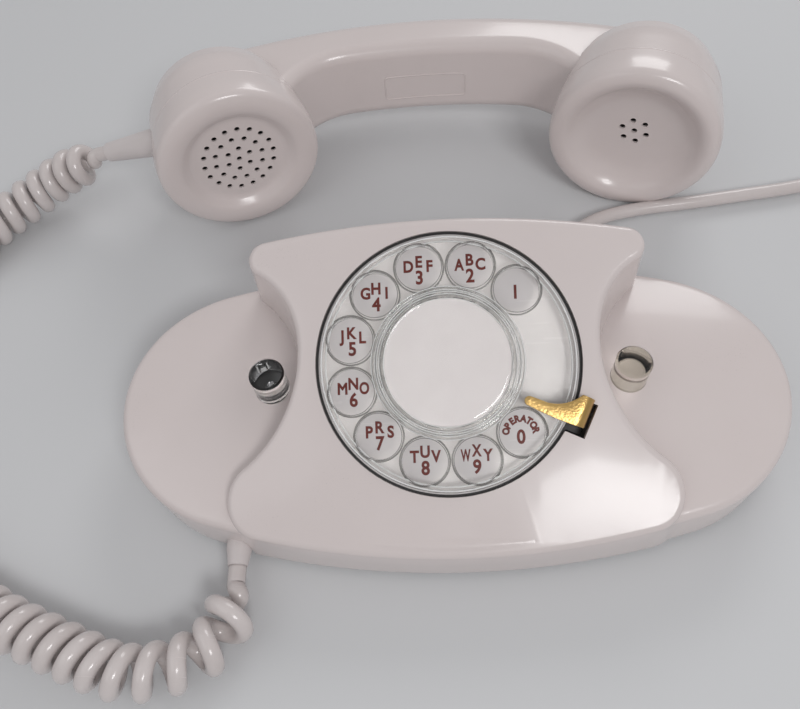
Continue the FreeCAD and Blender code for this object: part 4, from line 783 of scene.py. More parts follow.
# ---- geometry node trees -------------------------------------------------------------------------
class GeometryTree:
    """A geometry node tree with named number inputs, run once on a helper object."""

    def __init__(self, name: str, inputs: dict[str, tuple[str, float]]) -> None:
        """Start a tree.

        Args:
            name: the tree's name.
            inputs: for each input's name, its socket kind, Float or Int, and its value.
        """
        self.tree = bpy.data.node_groups.new(name, "GeometryNodeTree")
        face = self.tree.interface
        face.new_socket("Geometry", in_out="INPUT", socket_type="NodeSocketGeometry")
        self.values = {}
        for label, (kind, value) in inputs.items():
            made = face.new_socket(label, in_out="INPUT", socket_type="NodeSocket" + kind)
            self.values[made.identifier] = int(value) if kind == "Int" else float(value)
        face.new_socket("Geometry", in_out="OUTPUT", socket_type="NodeSocketGeometry")
        self.come = self.tree.nodes.new("NodeGroupInput")
        self.leave = self.tree.nodes.new("NodeGroupOutput")
        self.w = Wiring(self.tree)

    def add(self, kind: str, **links: object) -> bpy.types.Node:
        """Add a node and fill its inputs.

        Args:
            kind: the node's type name without its prefix.
            links: a socket or a value for each input, by name with _ for a space.

        Returns:
            The new node.
        """
        prefix = "ShaderNode" if kind in ("Math", "CombineXYZ") else "GeometryNode"
        made = self.tree.nodes.new(prefix + kind)
        for label, value in links.items():
            socket = made.inputs[label.replace("_", " ")]
            if isinstance(value, bpy.types.NodeSocket):
                self.w.join(value, socket)
            else:
                socket.default_value = value
        return made

    def ring_spots(self, count: int) -> bpy.types.NodeSocket:
        """Points on a ring, or one point at its middle when the count is one.

        Args:
            count: how many points the ring has.

        Returns:
            The points, from the tree's Count and Pitch Radius.
        """
        if count == 1:
            return self.add("Points", Count=self.come.outputs["Count"]).outputs[0]
        places = self.add(
            "MeshCircle",
            Vertices=self.come.outputs["Count"],
            Radius=self.come.outputs["Pitch Radius"],
        )
        return self.add("MeshToPoints", Mesh=places.outputs[0]).outputs[0]

    def bead(self, steps: int) -> bpy.types.NodeSocket:
        """Round bead, from the tree's Bead Radius and Bead Section.

        Args:
            steps: faces round the bead.

        Returns:
            The bead round the origin.
        """
        middle, section = (self.come.outputs[label] for label in ("Bead Radius", "Bead Section"))
        path = self.add("CurvePrimitiveCircle", Resolution=steps, Radius=middle)
        rim = self.add("CurvePrimitiveCircle", Resolution=8, Radius=section)
        tube = self.add("CurveToMesh", Curve=path.outputs[0], Profile_Curve=rim.outputs[0])
        return tube.outputs[0]

    def run(
        self, result: bpy.types.NodeSocket, material: bpy.types.Material, name: str
    ) -> bpy.types.Mesh:
        """Finish the tree and take its plain mesh.

        Args:
            result: the geometry to keep.
            material: the material that it gets.
            name: the mesh's name.

        Returns:
            The mesh.
        """
        whole = self.add("RealizeInstances", Geometry=result)
        dressed = self.add("SetMaterial", Geometry=whole.outputs[0])
        dressed.inputs["Material"].default_value = material
        self.w.join(dressed.outputs[0], self.leave.inputs["Geometry"])
        helper = as_object(name + "_helper", bpy.data.meshes.new(name + "_helper"))
        modifier = helper.modifiers.new("tree", "NODES")
        modifier.node_group = self.tree
        for identifier, value in self.values.items():
            modifier[identifier] = value
        mesh = plain_mesh(helper, name)
        drop(helper)
        return mesh


def ring_of_beads(
    name: str,
    pitch: float,
    count: int,
    major: float,
    minor: float,
    material: bpy.types.Material,
    steps: int = 18,
) -> bpy.types.Mesh:
    """Small round beads, one round each hole of a ring of holes.

    Args:
        name: the mesh's name.
        pitch: radius of the ring of holes.
        count: how many holes it has.
        major: radius of a bead's centreline.
        minor: radius of its section.
        material: its material.
        steps: faces round a bead.

    Returns:
        The beads in the XY plane round the origin.
    """
    g = GeometryTree(
        name,
        {
            "Pitch Radius": ("Float", pitch),
            "Count": ("Int", count),
            "Bead Radius": ("Float", major),
            "Bead Section": ("Float", minor),
        },
    )
    copies = g.add("InstanceOnPoints", Points=g.ring_spots(count), Instance=g.bead(steps))
    return g.run(copies.outputs[0], material, name)


def arc_of_beads(
    name: str,
    pitch: float,
    count: int,
    start: float,
    spacing: float,
    major: float,
    minor: float,
    material: bpy.types.Material,
) -> bpy.types.Mesh:
    """Round beads, one round each hole of an arc of holes.

    Args:
        name: the mesh's name.
        pitch: radius of the arc of holes.
        count: how many holes it has.
        start: bearing of the first, in degrees.
        spacing: angle from one to the next, in degrees.
        major: radius of a bead's centreline.
        minor: radius of its section.
        material: its material.

    Returns:
        The beads in the XY plane round the origin.
    """
    g = GeometryTree(
        name,
        {
            "Pitch Radius": ("Float", pitch),
            "Count": ("Int", count),
            "Start Angle": ("Float", math.radians(start)),
            "Sweep Angle": ("Float", math.radians(spacing * (count - 1))),
            "Bead Radius": ("Float", major),
            "Bead Section": ("Float", minor),
        },
    )
    arc = g.add(
        "CurveArc",
        Resolution=g.come.outputs["Count"],
        Radius=g.come.outputs["Pitch Radius"],
        Start_Angle=g.come.outputs["Start Angle"],
        Sweep_Angle=g.come.outputs["Sweep Angle"],
    )
    spots = g.add("CurveToPoints", Curve=arc.outputs[0])
    spots.mode = "EVALUATED"
    copies = g.add("InstanceOnPoints", Points=spots.outputs[0], Instance=g.bead(HOLE_SIDES))
    return g.run(copies.outputs[0], material, name)


def ring_of_pegs(
    name: str, pitch: float, count: int, radius: float, length: float, material: bpy.types.Material
) -> bpy.types.Mesh:
    """Round pegs standing on a ring, one for each hole to be cut.

    Args:
        name: the mesh's name.
        pitch: radius of the ring.
        count: how many pegs it has.
        radius: a peg's radius.
        length: a peg's length, half of it above the ring.
        material: their material.

    Returns:
        The pegs round the origin, along Z.
    """
    g = GeometryTree(
        name,
        {
            "Pitch Radius": ("Float", pitch),
            "Count": ("Int", count),
            "Peg Radius": ("Float", radius),
            "Peg Length": ("Float", length),
        },
    )
    peg = g.add(
        "MeshCylinder",
        Vertices=20,
        Radius=g.come.outputs["Peg Radius"],
        Depth=g.come.outputs["Peg Length"],
    )
    copies = g.add("InstanceOnPoints", Points=g.ring_spots(count), Instance=peg.outputs[0])
    return g.run(copies.outputs[0], material, name)


def wound_wire(
    name: str, turns: float, radius: float, height: float, wire: float, material: bpy.types.Material
) -> bpy.types.Mesh:
    """Close winding of round wire along Z from the origin.

    Args:
        name: the mesh's name.
        turns: how many turns it has.
        radius: radius to the wire's middle.
        height: its height.
        wire: the wire's radius.
        material: its material.

    Returns:
        The winding.
    """
    g = GeometryTree(
        name,
        {
            "Turns": ("Float", turns),
            "Radius": ("Float", radius),
            "Height": ("Float", height),
            "Wire": ("Float", wire),
        },
    )
    line = g.add(
        "CurveSpiral",
        Resolution=20,
        Rotations=g.come.outputs["Turns"],
        Start_Radius=g.come.outputs["Radius"],
        End_Radius=g.come.outputs["Radius"],
        Height=g.come.outputs["Height"],
    )
    section = g.add("CurvePrimitiveCircle", Resolution=6, Radius=g.come.outputs["Wire"])
    tube = g.add("CurveToMesh", Curve=line.outputs[0], Profile_Curve=section.outputs[0])
    tube.inputs["Fill Caps"].default_value = True
    return g.run(tube.outputs[0], material, name)


def row_of_blades(
    name: str, count: int, spacing: float, size: Place, material: bpy.types.Material
) -> bpy.types.Mesh:
    """Row of thin flat blades along X, centred on the origin.

    Args:
        name: the mesh's name.
        count: how many blades.
        spacing: distance from one to the next.
        size: a blade's three lengths.
        material: their material.

    Returns:
        The row.
    """
    g = GeometryTree(
        name,
        {
            "Count": ("Int", count),
            "Start": ("Float", -0.5 * spacing * (count - 1)),
            "Spacing": ("Float", spacing),
            "Thickness": ("Float", size[0]),
            "Length": ("Float", size[1]),
            "Height": ("Float", size[2]),
        },
    )
    first = g.add("CombineXYZ", X=g.come.outputs["Start"])
    apart = g.add("CombineXYZ", X=g.come.outputs["Spacing"])
    places = g.add(
        "MeshLine",
        Count=g.come.outputs["Count"],
        Start_Location=first.outputs[0],
        Offset=apart.outputs[0],
    )
    lengths = g.add(
        "CombineXYZ",
        X=g.come.outputs["Thickness"],
        Y=g.come.outputs["Length"],
        Z=g.come.outputs["Height"],
    )
    blade = g.add("MeshCube", Size=lengths.outputs[0])
    spots = g.add("MeshToPoints", Mesh=places.outputs[0])
    copies = g.add("InstanceOnPoints", Points=spots.outputs[0], Instance=blade.outputs[0])
    return g.run(copies.outputs[0], material, name)


def joined(name: str, meshes: Iterable[tuple[bpy.types.Mesh, Matrix]]) -> bpy.types.Mesh:
    """One mesh from several, each moved to its place.

    Args:
        name: the new mesh's name.
        meshes: each mesh with the transform that places it.

    Returns:
        The joined mesh, with the first one's materials.
    """
    whole = bpy.data.meshes.new(name)
    shape = bmesh.new()
    for mesh, place in meshes:
        mesh.transform(place)
        shape.from_mesh(mesh)
        if not whole.materials:
            for material in mesh.materials:
                whole.materials.append(material)
    bmesh.ops.recalc_face_normals(shape, faces=shape.faces)
    shape.to_mesh(whole)
    shape.free()
    return whole


# ---- base ----------------------------------------------------------------------------------------
@dataclass
class Base:
    """Moulded shell, its underside, and the reliefs that the cords leave through."""

    palette: Palette
    skins: dict[str, str] = field(
        default_factory=lambda: {
            "housing": "shell_gloss",
            "foot_ring": "foot_rubber",
            "front_relief": "pale_rubber",
            "rear_relief": "pale_rubber",
        }
    )
    bare: dict[str, str] = field(
        default_factory=lambda: {
            "base_plate": "zinc_steel",
            "base_screws": "zinc_steel",
            "counterweight": "cast_weight",
        }
    )

    def build(self) -> None:
        """Make and dress every piece."""
        for node, finish in self.skins.items():
            self.palette.dress(moulded(node), finish)
        for node, finish in self.bare.items():
            self.palette.dress(NODES[node], finish)
        log.info("base: %d pieces", len(self.skins) + len(self.bare))


# ---- hook and inner works ------------------------------------------------------------------------
@dataclass
class HookAndWorks:
    """Hook plungers with their lever, and the pieces under the shell."""

    palette: Palette
    bare: dict[str, str] = field(
        default_factory=lambda: {
            "hook_lever": "zinc_steel",
            "lever_brackets": "zinc_steel",
            "hook_switch": "black_phenolic",
            "network_block": "black_phenolic",
            "terminal_screws": "gear_brass",
            "ringer_frame": "zinc_steel",
            "ringer_coil": "enamelled_copper",
            "ringer_gong": "gear_brass",
            "gong_screw": "zinc_steel",
            "ringer_clapper": "gear_brass",
            "lamp_socket": "black_phenolic",
            "lamp": "lamp_glass",
        }
    )
    skins: dict[str, str] = field(
        default_factory=lambda: {
            "plunger_left": "clear_acrylic",
            "plunger_right": "smoky_acrylic",
        }
    )
    winding_wire: float = 0.00022
    winding_pitch: float = 2.1
    winding_margin: float = 3.0
    core_radius: float = 0.0045
    core_edge: float = 0.0006
    core_low: float = 0.0215
    core_top: float = 0.0272

    def winding(self) -> None:
        """Layer of enamelled wire wound round the ringer's coil."""
        low, high = (Vector(corner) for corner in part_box("ringer_coil"))
        radius = 0.5 * min(high.y - low.y, high.z - low.z)
        margin = self.winding_margin * self.winding_wire
        length = high.x - low.x - 2.0 * margin
        copper = self.palette.material("enamelled_copper")
        turns = length / (self.winding_pitch * self.winding_wire)
        mesh = wound_wire("coil_winding", turns, radius, length, self.winding_wire, copper)
        start = Vector((low.x + margin, 0.5 * (low.y + high.y), 0.5 * (low.z + high.z)))
        mesh.transform(Matrix.Translation(start) @ Matrix.Rotation(math.radians(90.0), 4, "Y"))
        piece = as_object("coil_winding", mesh)
        shade(mesh, ROUND_EDGE)
        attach(piece, "base")

    def core(self) -> None:
        """Beige middle moulded into the right plunger below its clear top."""
        low, high = (Vector(corner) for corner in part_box("plunger_right"))
        middle = low.lerp(high, 0.5)
        section = [
            (0.0, self.core_top),
            (self.core_radius - self.core_edge, self.core_top),
            (self.core_radius, self.core_top - self.core_edge),
            (self.core_radius, self.core_low),
            (0.0, self.core_low),
        ]
        mesh = turned("plunger_core", section, CORE_SIDES)
        mesh.transform(Matrix.Translation((middle.x, middle.y, 0.0)))
        piece = as_object("plunger_core", mesh)
        shade(mesh)
        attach(piece, "plunger_right")
        self.palette.dress(piece, "beige_core")

    def build(self) -> None:
        """Make and dress every piece."""
        for node, finish in self.skins.items():
            self.palette.dress(moulded(node), finish)
        made = (self.core, self.winding)
        for make in made:
            make()
        for node, finish in self.bare.items():
            self.palette.dress(NODES[node], finish)
        log.info("hook and works: %d pieces", len(self.skins) + len(made) + len(self.bare))


# ---- dial ----------------------------------------------------------------------------------------
@dataclass
class Dial:
    """Clear finger wheel over a white number plate, with its printing, stop and works."""

    palette: Palette
    centre: Place = (0.0, -0.0004, 0.0444)
    tilt: float = 24.6
    pitch: float = 0.0296
    first: float = 45.0
    spacing: float = 30.0
    plate_top: float = -0.005
    digit: float = 0.0041
    letter: float = 0.0035
    small: float = 0.002
    widest: float = 0.003
    letter_gap: float = 0.0003
    letter_pitch: float = 0.0032
    middle_rise: float = 0.0026
    side_rise: float = 0.0012
    numeral_drop: float = 0.0022
    zero_drop: float = 0.0014
    word: str = "OPERATOR"
    word_radius: float = 0.0045
    word_sweep: float = 160.0
    word_drop: float = 0.0005
    capital_share: float = 0.72
    widest_share: float = 0.9
    stroke: float = 0.00018
    sunk: float = 0.00005
    hole: float = 0.00675
    wheel_top: float = 0.0008
    wheel_radius: float = 0.0376
    # Painted shadow in the gap round the wheel: the dark ring's width and its low and high levels.
    well: float = 0.03915
    gap_shadow_width: float = 0.0007
    gap_shadow_low: float = -0.0015
    gap_shadow_high: float = -0.0012
    stop_round: float = 0.00032
    stop_flat: float = 1.5
    stop_sharp: float = 45.0
    cover: tuple[tuple[float, float], ...] = (
        (0.0, 0.0021), (0.0184, 0.0021), (0.0188, 0.0017), (0.0192, 0.0026), (0.0198, 0.0027),
        (0.0200, 0.0019), (0.0203, 0.0019), (0.0205, 0.0025), (0.0211, 0.0025), (0.0213, 0.0017),
        (0.0215, 0.0017), (0.0217, 0.0019), (0.0221, 0.0018), (0.0224, 0.0012),
    )
    cover_under: tuple[tuple[float, float], ...] = (
        (0.0224, 0.0008), (0.0193, 0.0008), (0.0193, 0.0012), (0.0, 0.0012),
    )
    # The beads below are grey, painted shade lines along the wheel's edges.
    # Name, how much wider than a hole, how far below the wheel's top, radius of the section.
    hole_edges: tuple[tuple[str, float, float, float], ...] = (
        ("hole_top_edges", 0.0001, 0.00004, 0.00011),
        ("hole_foot_edges", 0.0006, 0.0041, 0.00026),
    )
    # How far in from the wheel's rim, level, radius of the section.
    rim_edges: tuple[Place, ...] = ((0.0003, 0.0006, 0.00022), (0.0014, -0.0013, 0.00024))
    # Radius, level, radius of the section.
    cover_edges: tuple[Place, ...] = (
        (0.0189, 0.0017, 0.00019),
        (0.02015, 0.0018, 0.00016),
        (0.0208, 0.0023, 0.00012),
        (0.0214, 0.0016, 0.00016),
        (0.0224, 0.0009, 0.00024),
    )
    groups: tuple[str, ...] = ("", "ABC", "DEF", "GHI", "JKL", "MNO", "PRS", "TUV", "WXY", "")
    bare: dict[str, str] = field(
        default_factory=lambda: {
            # The dial frame is painted near black as shade in the finger stop's slot.
            "dial_frame": "painted_shade_steel",
            "dial_screws": "zinc_steel",
            "dial_bridge": "zinc_steel",
            "dial_shaft": "zinc_steel",
            "main_gear": "gear_brass",
            "return_spring": "zinc_steel",
            "pulse_pinion": "gear_brass",
            "pulse_cam": "black_phenolic",
            "pulse_contacts": "black_phenolic",
            "governor_rotor": "gear_brass",
            "governor_cup": "gear_brass",
        }
    )
    skins: dict[str, str] = field(
        default_factory=lambda: {
            "number_plate": "plate_white",
            "card": "card_paper",
            "finger_wheel": "clear_acrylic",
        }
    )

    def place(self) -> Matrix:
        """Transform from the dial's own plane to where it is."""
        return Matrix.Translation(self.centre) @ Matrix.Rotation(math.radians(self.tilt), 4, "X")

    def glyph(self, text: str, height: float, x: float, y: float, turn: float = 0.0) -> bpy.types.Mesh:
        """One printed character on the number plate.

        Args:
            text: the character.
            height: its height.
            x: its middle across the dial.
            y: its middle up the dial.
            turn: how far it is turned, in degrees.

        Returns:
            Its mesh in the dial's own plane.
        """
        curve = bpy.data.curves.new("glyph", "FONT")
        curve.body = text
        curve.size = height / self.capital_share
        curve.align_x = "CENTER"
        curve.resolution_u = 4
        curve.bevel_depth = self.stroke
        curve.bevel_resolution = 1
        helper = as_object("glyph", curve)
        mesh = plain_mesh(helper, "glyph")
        drop(helper)
        spans = []
        for axis in (0, 1):
            along = [v.co[axis] for v in mesh.vertices]
            spans.append((min(along), max(along)))
        (left, right), (low, high) = spans
        narrow = min(self.widest_share, self.widest / (right - left))
        mesh.transform(Matrix.Translation((-0.5 * (left + right), -0.5 * (low + high), 0.0)))
        mesh.transform(Matrix.Diagonal((narrow, 1.0, self.sunk / self.stroke, 1.0)))
        flat = Matrix.Rotation(math.radians(turn), 4, "Z")
        mesh.transform(Matrix.Translation((x, y, self.plate_top)) @ flat)
        return mesh

    def letter_group(self, group: str, spot: Vector) -> list[bpy.types.Mesh]:
        """Three letters over a numeral, the middle one raised.

        Args:
            group: the letters.
            spot: the middle of their finger hole.

        Returns:
            Their meshes.
        """
        found = [self.glyph(letter, self.letter, 0.0, 0.0) for letter in group]
        widths = [2.0 * max(v.co.x for v in mesh.vertices) for mesh in found]
        for side, mesh in zip((-1, 0, 1), found):
            beside = max(self.letter_pitch, 0.5 * (widths[1] + widths[1 + side]) + self.letter_gap)
            rise = self.middle_rise if side == 0 else self.side_rise
            mesh.transform(Matrix.Translation((spot.x + side * beside, spot.y + rise, 0.0)))
        return found

    def lettering(self) -> list[bpy.types.Mesh]:
        """Numerals and letter groups seen through the finger holes.

        Returns:
            A mesh for each character, in the dial's own plane.
        """
        marks = []
        for i, group in enumerate(self.groups):
            spot = around(self.pitch, self.first + self.spacing * i)
            drop_by = self.numeral_drop
            if not group:
                drop_by = 0.0 if i == 0 else self.zero_drop
            marks.append(self.glyph(str((i + 1) % 10), self.digit, spot.x, spot.y - drop_by))
            if group:
                marks += self.letter_group(group, spot)
        zero = around(self.pitch, self.first + self.spacing * (len(self.groups) - 1))
        for k, letter in enumerate(self.word):
            turn = 0.5 * self.word_sweep - self.word_sweep * k / (len(self.word) - 1)
            arc = around(self.word_radius, 90.0 + turn)
            level = zero.y - self.word_drop + arc.y
            marks.append(self.glyph(letter, self.small, zero.x + arc.x, level, turn))
        return marks

    def printing(self) -> None:
        """All the printed characters as one piece on the number plate."""
        place = self.place()
        mesh = joined("dial_lettering", [(mark, place) for mark in self.lettering()])
        piece = as_object("dial_lettering", mesh)
        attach(piece, "base")
        self.palette.dress(piece, "print_red")

    def stop(self) -> None:
        """Finger stop with its edges rounded over."""
        piece = moulded("finger_stop")
        shape = bmesh.new()
        shape.from_mesh(piece.data)
        bmesh.ops.dissolve_limit(
            shape,
            angle_limit=math.radians(self.stop_flat),
            verts=shape.verts,
            edges=list(shape.edges),
        )
        limit = math.radians(self.stop_sharp)
        sharp = [edge for edge in shape.edges if edge.calc_face_angle(0.0) > limit]
        bmesh.ops.bevel(
            shape,
            geom=sharp,
            offset=self.stop_round,
            segments=3,
            profile=0.5,
            affect="EDGES",
            clamp_overlap=True,
        )
        bmesh.ops.triangulate(shape, faces=shape.faces)
        shape.to_mesh(piece.data)
        shape.free()
        shade(piece.data, FIRM_EDGE)
        self.palette.dress(piece, "stop_gilt")

    def card_cover(self) -> None:
        """Clear cover over the card, with its stepped rings."""
        mesh = turned("card_cover", [*softened(self.cover, 2), *self.cover_under])
        mesh.transform(self.place())
        piece = as_object("card_cover", mesh)
        shade(mesh, COVER_EDGE)
        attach(piece, "finger_wheel")
        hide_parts("card_retainer")
        self.palette.dress(piece, "clear_acrylic")

    def wheel_edges(self) -> None:
        """Grey rounded beads that outline the finger holes, the wheel's rim and the cover's steps:
        painted shade for the dark lines that the clear acrylic shows along its edges.
        """
        edge_shade = self.palette.material("edge_shade_acrylic")
        place = self.place()
        parts = []
        for name, wider, lower, size in self.hole_edges:
            level = Matrix.Translation((0.0, 0.0, self.wheel_top - lower))
            parts.append((self.hole_beads(name, self.hole + wider, size), place @ level))
        steps = [(self.wheel_radius - inset, level, size) for inset, level, size in self.rim_edges]
        for k, (radius, level, size) in enumerate([*steps, *self.cover_edges]):
            bead = ring_of_beads("edge_%d" % k, 0.0, 1, radius, size, edge_shade, RIM_SIDES)
            parts.append((bead, place @ Matrix.Translation((0.0, 0.0, level))))
        piece = as_object("wheel_edges", joined("wheel_edges", parts))
        shade(piece.data, ROUND_EDGE)
        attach(piece, "finger_wheel")

    def hole_beads(self, name: str, major: float, minor: float) -> bpy.types.Mesh:
        """One grey bead round each finger hole, in the dial's own plane, painting the shade line at the
        hole's edge.
        """
        edge_shade = self.palette.material("edge_shade_acrylic")
        count = len(self.groups)
        return arc_of_beads(name, self.pitch, count, self.first, self.spacing, major, minor, edge_shade)

    def painted_gap_shadow(self) -> None:
        """Painted shadow: a dark ring down in the gap between the wheel and the shell, where shade
        falls.
        """
        low, high = self.gap_shadow_low, self.gap_shadow_high
        near = self.well - self.gap_shadow_width
        section = [(near, low), (self.well, low), (self.well, high), (near, high), (near, low)]
        mesh = turned("painted_gap_shadow", section)
        mesh.transform(self.place())
        piece = as_object("painted_gap_shadow", mesh)
        shape = bmesh.new()
        shape.from_mesh(mesh)
        bmesh.ops.remove_doubles(shape, verts=shape.verts, dist=1e-7)
        bmesh.ops.recalc_face_normals(shape, faces=shape.faces)
        shape.to_mesh(mesh)
        shape.free()
        shade(mesh, FIRM_EDGE)
        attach(piece, "base")
        self.palette.dress(piece, "well_shadow")

    def build(self) -> None:
        """Make and dress every piece."""
        for node, finish in self.skins.items():
            self.palette.dress(moulded(node), finish)
        for node, finish in self.bare.items():
            self.palette.dress(NODES[node], finish)
        made = (self.stop, self.card_cover, self.wheel_edges, self.painted_gap_shadow, self.printing)
        for make in made:
            make()
        log.info("dial: %d pieces", len(self.skins) + len(self.bare) + len(made))


# ---- handset -------------------------------------------------------------------------------------
@dataclass(frozen=True)
class CapShape:
    """One cap of the handset: its section from its face backwards, and its rings of holes.

    Each ring has a radius, a number of holes and a turn in degrees.
    """

    name: str
    node: str
    side: int
    face: tuple[tuple[float, float], ...]
    inside: tuple[tuple[float, float], ...]
    rings: tuple[tuple[float, int, float], ...]
    hole: float


CAPS: tuple[CapShape, ...] = (
    CapShape(
        "ear_cap", "receiver_cap", 1,
        (
            (0.0, 0.0074), (0.0080, 0.0073), (0.0155, 0.0063), (0.0205, 0.0036), (0.0238, 0.0002),
            (0.0265, -0.0006), (0.0300, 0.0008), (0.0304, 0.0050), (0.0304, 0.0080), (0.0300, 0.0130),
        ),
        (
            (0.0270, 0.0130), (0.0270, 0.0066), (0.0240, 0.0044), (0.0205, 0.0058), (0.0155, 0.0078),
            (0.0, 0.0086),
        ),
        ((0.0, 1, 0.0), (0.0046, 6, 0.0)),
        0.00112,
    ),
    CapShape(
        "mouth_cap", "transmitter_cap", -1,
        (
            (0.0, 0.0031), (0.0150, 0.0031), (0.0180, 0.0031), (0.0200, 0.0014), (0.0222, -0.0003),
            (0.0262, -0.0006), (0.0300, 0.0008), (0.0304, 0.0050), (0.0304, 0.0080), (0.0300, 0.0130),
        ),
        ((0.0270, 0.0130), (0.0270, 0.0060), (0.0236, 0.0040), (0.0, 0.0040)),
        ((0.0, 1, 0.0), (0.0046, 6, 0.0), (0.009, 12, 15.0), (0.0132, 18, 0.0)),
        0.00105,
    ),
)


@dataclass
class Handset:
    """Bowed handle with a screwed cap at each end, lying on its side behind the base."""

    palette: Palette
    centre: Place = (-0.0023, 0.093, 0.031)
    tilt: float = -5.0
    cap_offset: float = 0.0713
    leans: tuple[tuple[int, float], ...] = ((1, 16.0), (-1, 20.0))
    seam_radius: float = 0.0292
    seam_bead: float = 0.00072
    seam_level: float = 0.01385
    peg_length: float = 0.03
    rim_bead: float = 0.00016
    rim_clear: float = 0.00006
    frame_middle: Place = (-0.0049, 0.0, 0.0243)
    frame_half: tuple[float, float] = (0.0158, 0.0051)
    frame_corner: float = 0.0014
    frame_bead: float = 0.00028
    frame_spacing: float = 0.001
    corner_steps: int = 6
    in_front: float = 0.10
    grip_face: float = 0.1355
    skins: dict[str, str] = field(
        default_factory=lambda: {
            "handset_handle": "shell_gloss",
            "handset_boot": "pale_rubber",
        }
    )
    bare: dict[str, str] = field(
        default_factory=lambda: {
            "receiver_unit": "black_phenolic",
            "transmitter_unit": "black_phenolic",
        }
    )

    def cup(self, side: int) -> Matrix:
        """Transform from a cap's own axis to its place: its face at the origin, looking along -Z.

        Args:
            side: 1 for the receiver, -1 for the transmitter.

        Returns:
            The transform.
        """
        lean = math.radians(dict(self.leans)[side])
        hand = Matrix.Translation(self.centre) @ Matrix.Rotation(math.radians(self.tilt), 4, "X")
        back = Vector((side * math.sin(lean), math.cos(lean), 0.0))
        turn = Vector((0.0, 0.0, 1.0)).rotation_difference(back).to_matrix().to_4x4()
        return hand @ Matrix.Translation((side * self.cap_offset, 0.0, 0.0)) @ turn

    def cap(self, shape: CapShape) -> None:
        """One screwed cap with its sound holes, and the bead of the cup behind it.

        Args:
            shape: the cap's sizes.
        """
        gloss = self.palette.material("shell_gloss")
        place = self.cup(shape.side)
        outside = softened(shape.face)
        pegs = []
        rims = []
        for pitch, count, turn in shape.rings:
            twist = Matrix.Rotation(math.radians(turn), 4, "Z")
            label = "%s_%d" % (shape.name, count)
            peg = ring_of_pegs(label + "_pegs", pitch, count, shape.hole, self.peg_length, gloss)
            pegs.append((peg, twist))
            level = next(z0 for (r0, z0), (r1, _) in zip(outside, outside[1:]) if r0 <= pitch <= r1)
            wide = shape.hole + self.rim_clear
            bead = ring_of_beads(label, pitch, count, wide, self.rim_bead, gloss)
            out = Matrix.Translation((0.0, 0.0, level + self.rim_clear))
            rims.append((bead, place @ twist @ out))
        blank = turned(shape.name, [*outside, *shape.inside])
        cutters = joined(shape.name + "_cutters", pegs)
        mesh = pierced(shape.name, blank, cutters)
        mesh.transform(place)
        shade(mesh, FIRM_EDGE)
        piece = as_object(shape.name, mesh)
        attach(piece, "handset")
        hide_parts(shape.node)
        self.palette.dress(piece, "shell_gloss")
        seam = ring_of_beads(
            shape.name + "_seam", 0.0, 1, self.seam_radius, self.seam_bead, gloss, RIM_SIDES
        )
        rims.append((seam, place @ Matrix.Translation((0.0, 0.0, self.seam_level))))
        trim = as_object(shape.name + "_rims", joined(shape.name + "_rims", rims))
        shade(trim.data, ROUND_EDGE)
        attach(trim, "handset")

    def blank_frame(self) -> None:
        """Low rounded frame moulded in the grip's inner face, left blank."""
        (half_x, half_z), corner = self.frame_half, self.frame_corner
        line = []
        for cx, cz, start in (
            (half_x - corner, half_z - corner, 0.0),
            (-half_x + corner, half_z - corner, 90.0),
            (-half_x + corner, -half_z + corner, 180.0),
            (half_x - corner, -half_z + corner, 270.0),
        ):
            for k in range(self.corner_steps + 1):
                spot = around(corner, start + 90.0 * k / self.corner_steps)
                line.append(Vector((cx + spot.x, 0.0, cz + spot.y)))
        dense = []
        for here, there in zip(line, line[1:] + line[:1]):
            count = max(1, round((there - here).length / self.frame_spacing))
            dense += [here.lerp(there, k / count) for k in range(count)]
        middle = Vector(self.frame_middle)
        grip = bpy.data.objects["handset_handle_skin"]
        handle = BVHTree.FromObject(grip, bpy.context.evaluated_depsgraph_get())
        seated = []
        for spot in dense:
            start = Vector((middle.x + spot.x, self.in_front, middle.z + spot.z))
            where, _, _, _ = handle.ray_cast(start, Vector((0.0, 1.0, 0.0)))
            seated.append(where or Vector((start.x, self.grip_face, start.z)))
        curve = bpy.data.curves.new("grip_frame", "CURVE")
        curve.dimensions = "3D"
        spline = curve.splines.new("POLY")
        spline.points.add(len(seated) - 1)
        for point, where in zip(spline.points, seated):
            point.co = (*where, 1.0)
        spline.use_cyclic_u = True
        curve.bevel_depth = self.frame_bead
        curve.bevel_resolution = 3
        helper = as_object("grip_frame_line", curve)
        mesh = plain_mesh(helper, "grip_frame")
        drop(helper)
        piece = as_object("grip_frame", mesh)
        shade(mesh, ROUND_EDGE)
        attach(piece, "handset")
        self.palette.dress(piece, "shell_gloss")

    def build(self) -> None:
        """Make and dress every piece."""
        for node, finish in self.skins.items():
            self.palette.dress(moulded(node), finish)
        for node, finish in self.bare.items():
            self.palette.dress(NODES[node], finish)
        for shape in CAPS:
            self.cap(shape)
        self.blank_frame()
        log.info("handset: %d pieces", 2 * len(CAPS) + 1 + len(self.skins) + len(self.bare))


# ---- cords ---------------------------------------------------------------------------------------
def smooth_spline(name: str, points: Sequence[Vector]) -> bpy.types.Object:
    """Curve object of one smooth open spline that the points control.

    Args:
        name: the curve's name.
        points: its control points.

    Returns:
        The curve, without a bevel.
    """
    curve = bpy.data.curves.new(name, "CURVE")
    curve.dimensions = "3D"
    curve.resolution_u = 16
    spline = curve.splines.new("NURBS")
    spline.points.add(len(points) - 1)
    for point, where in zip(spline.points, points):
        point.co = (*where, 1.0)
    spline.order_u = 3
    spline.use_endpoint_u = True
    return as_object(name, curve)


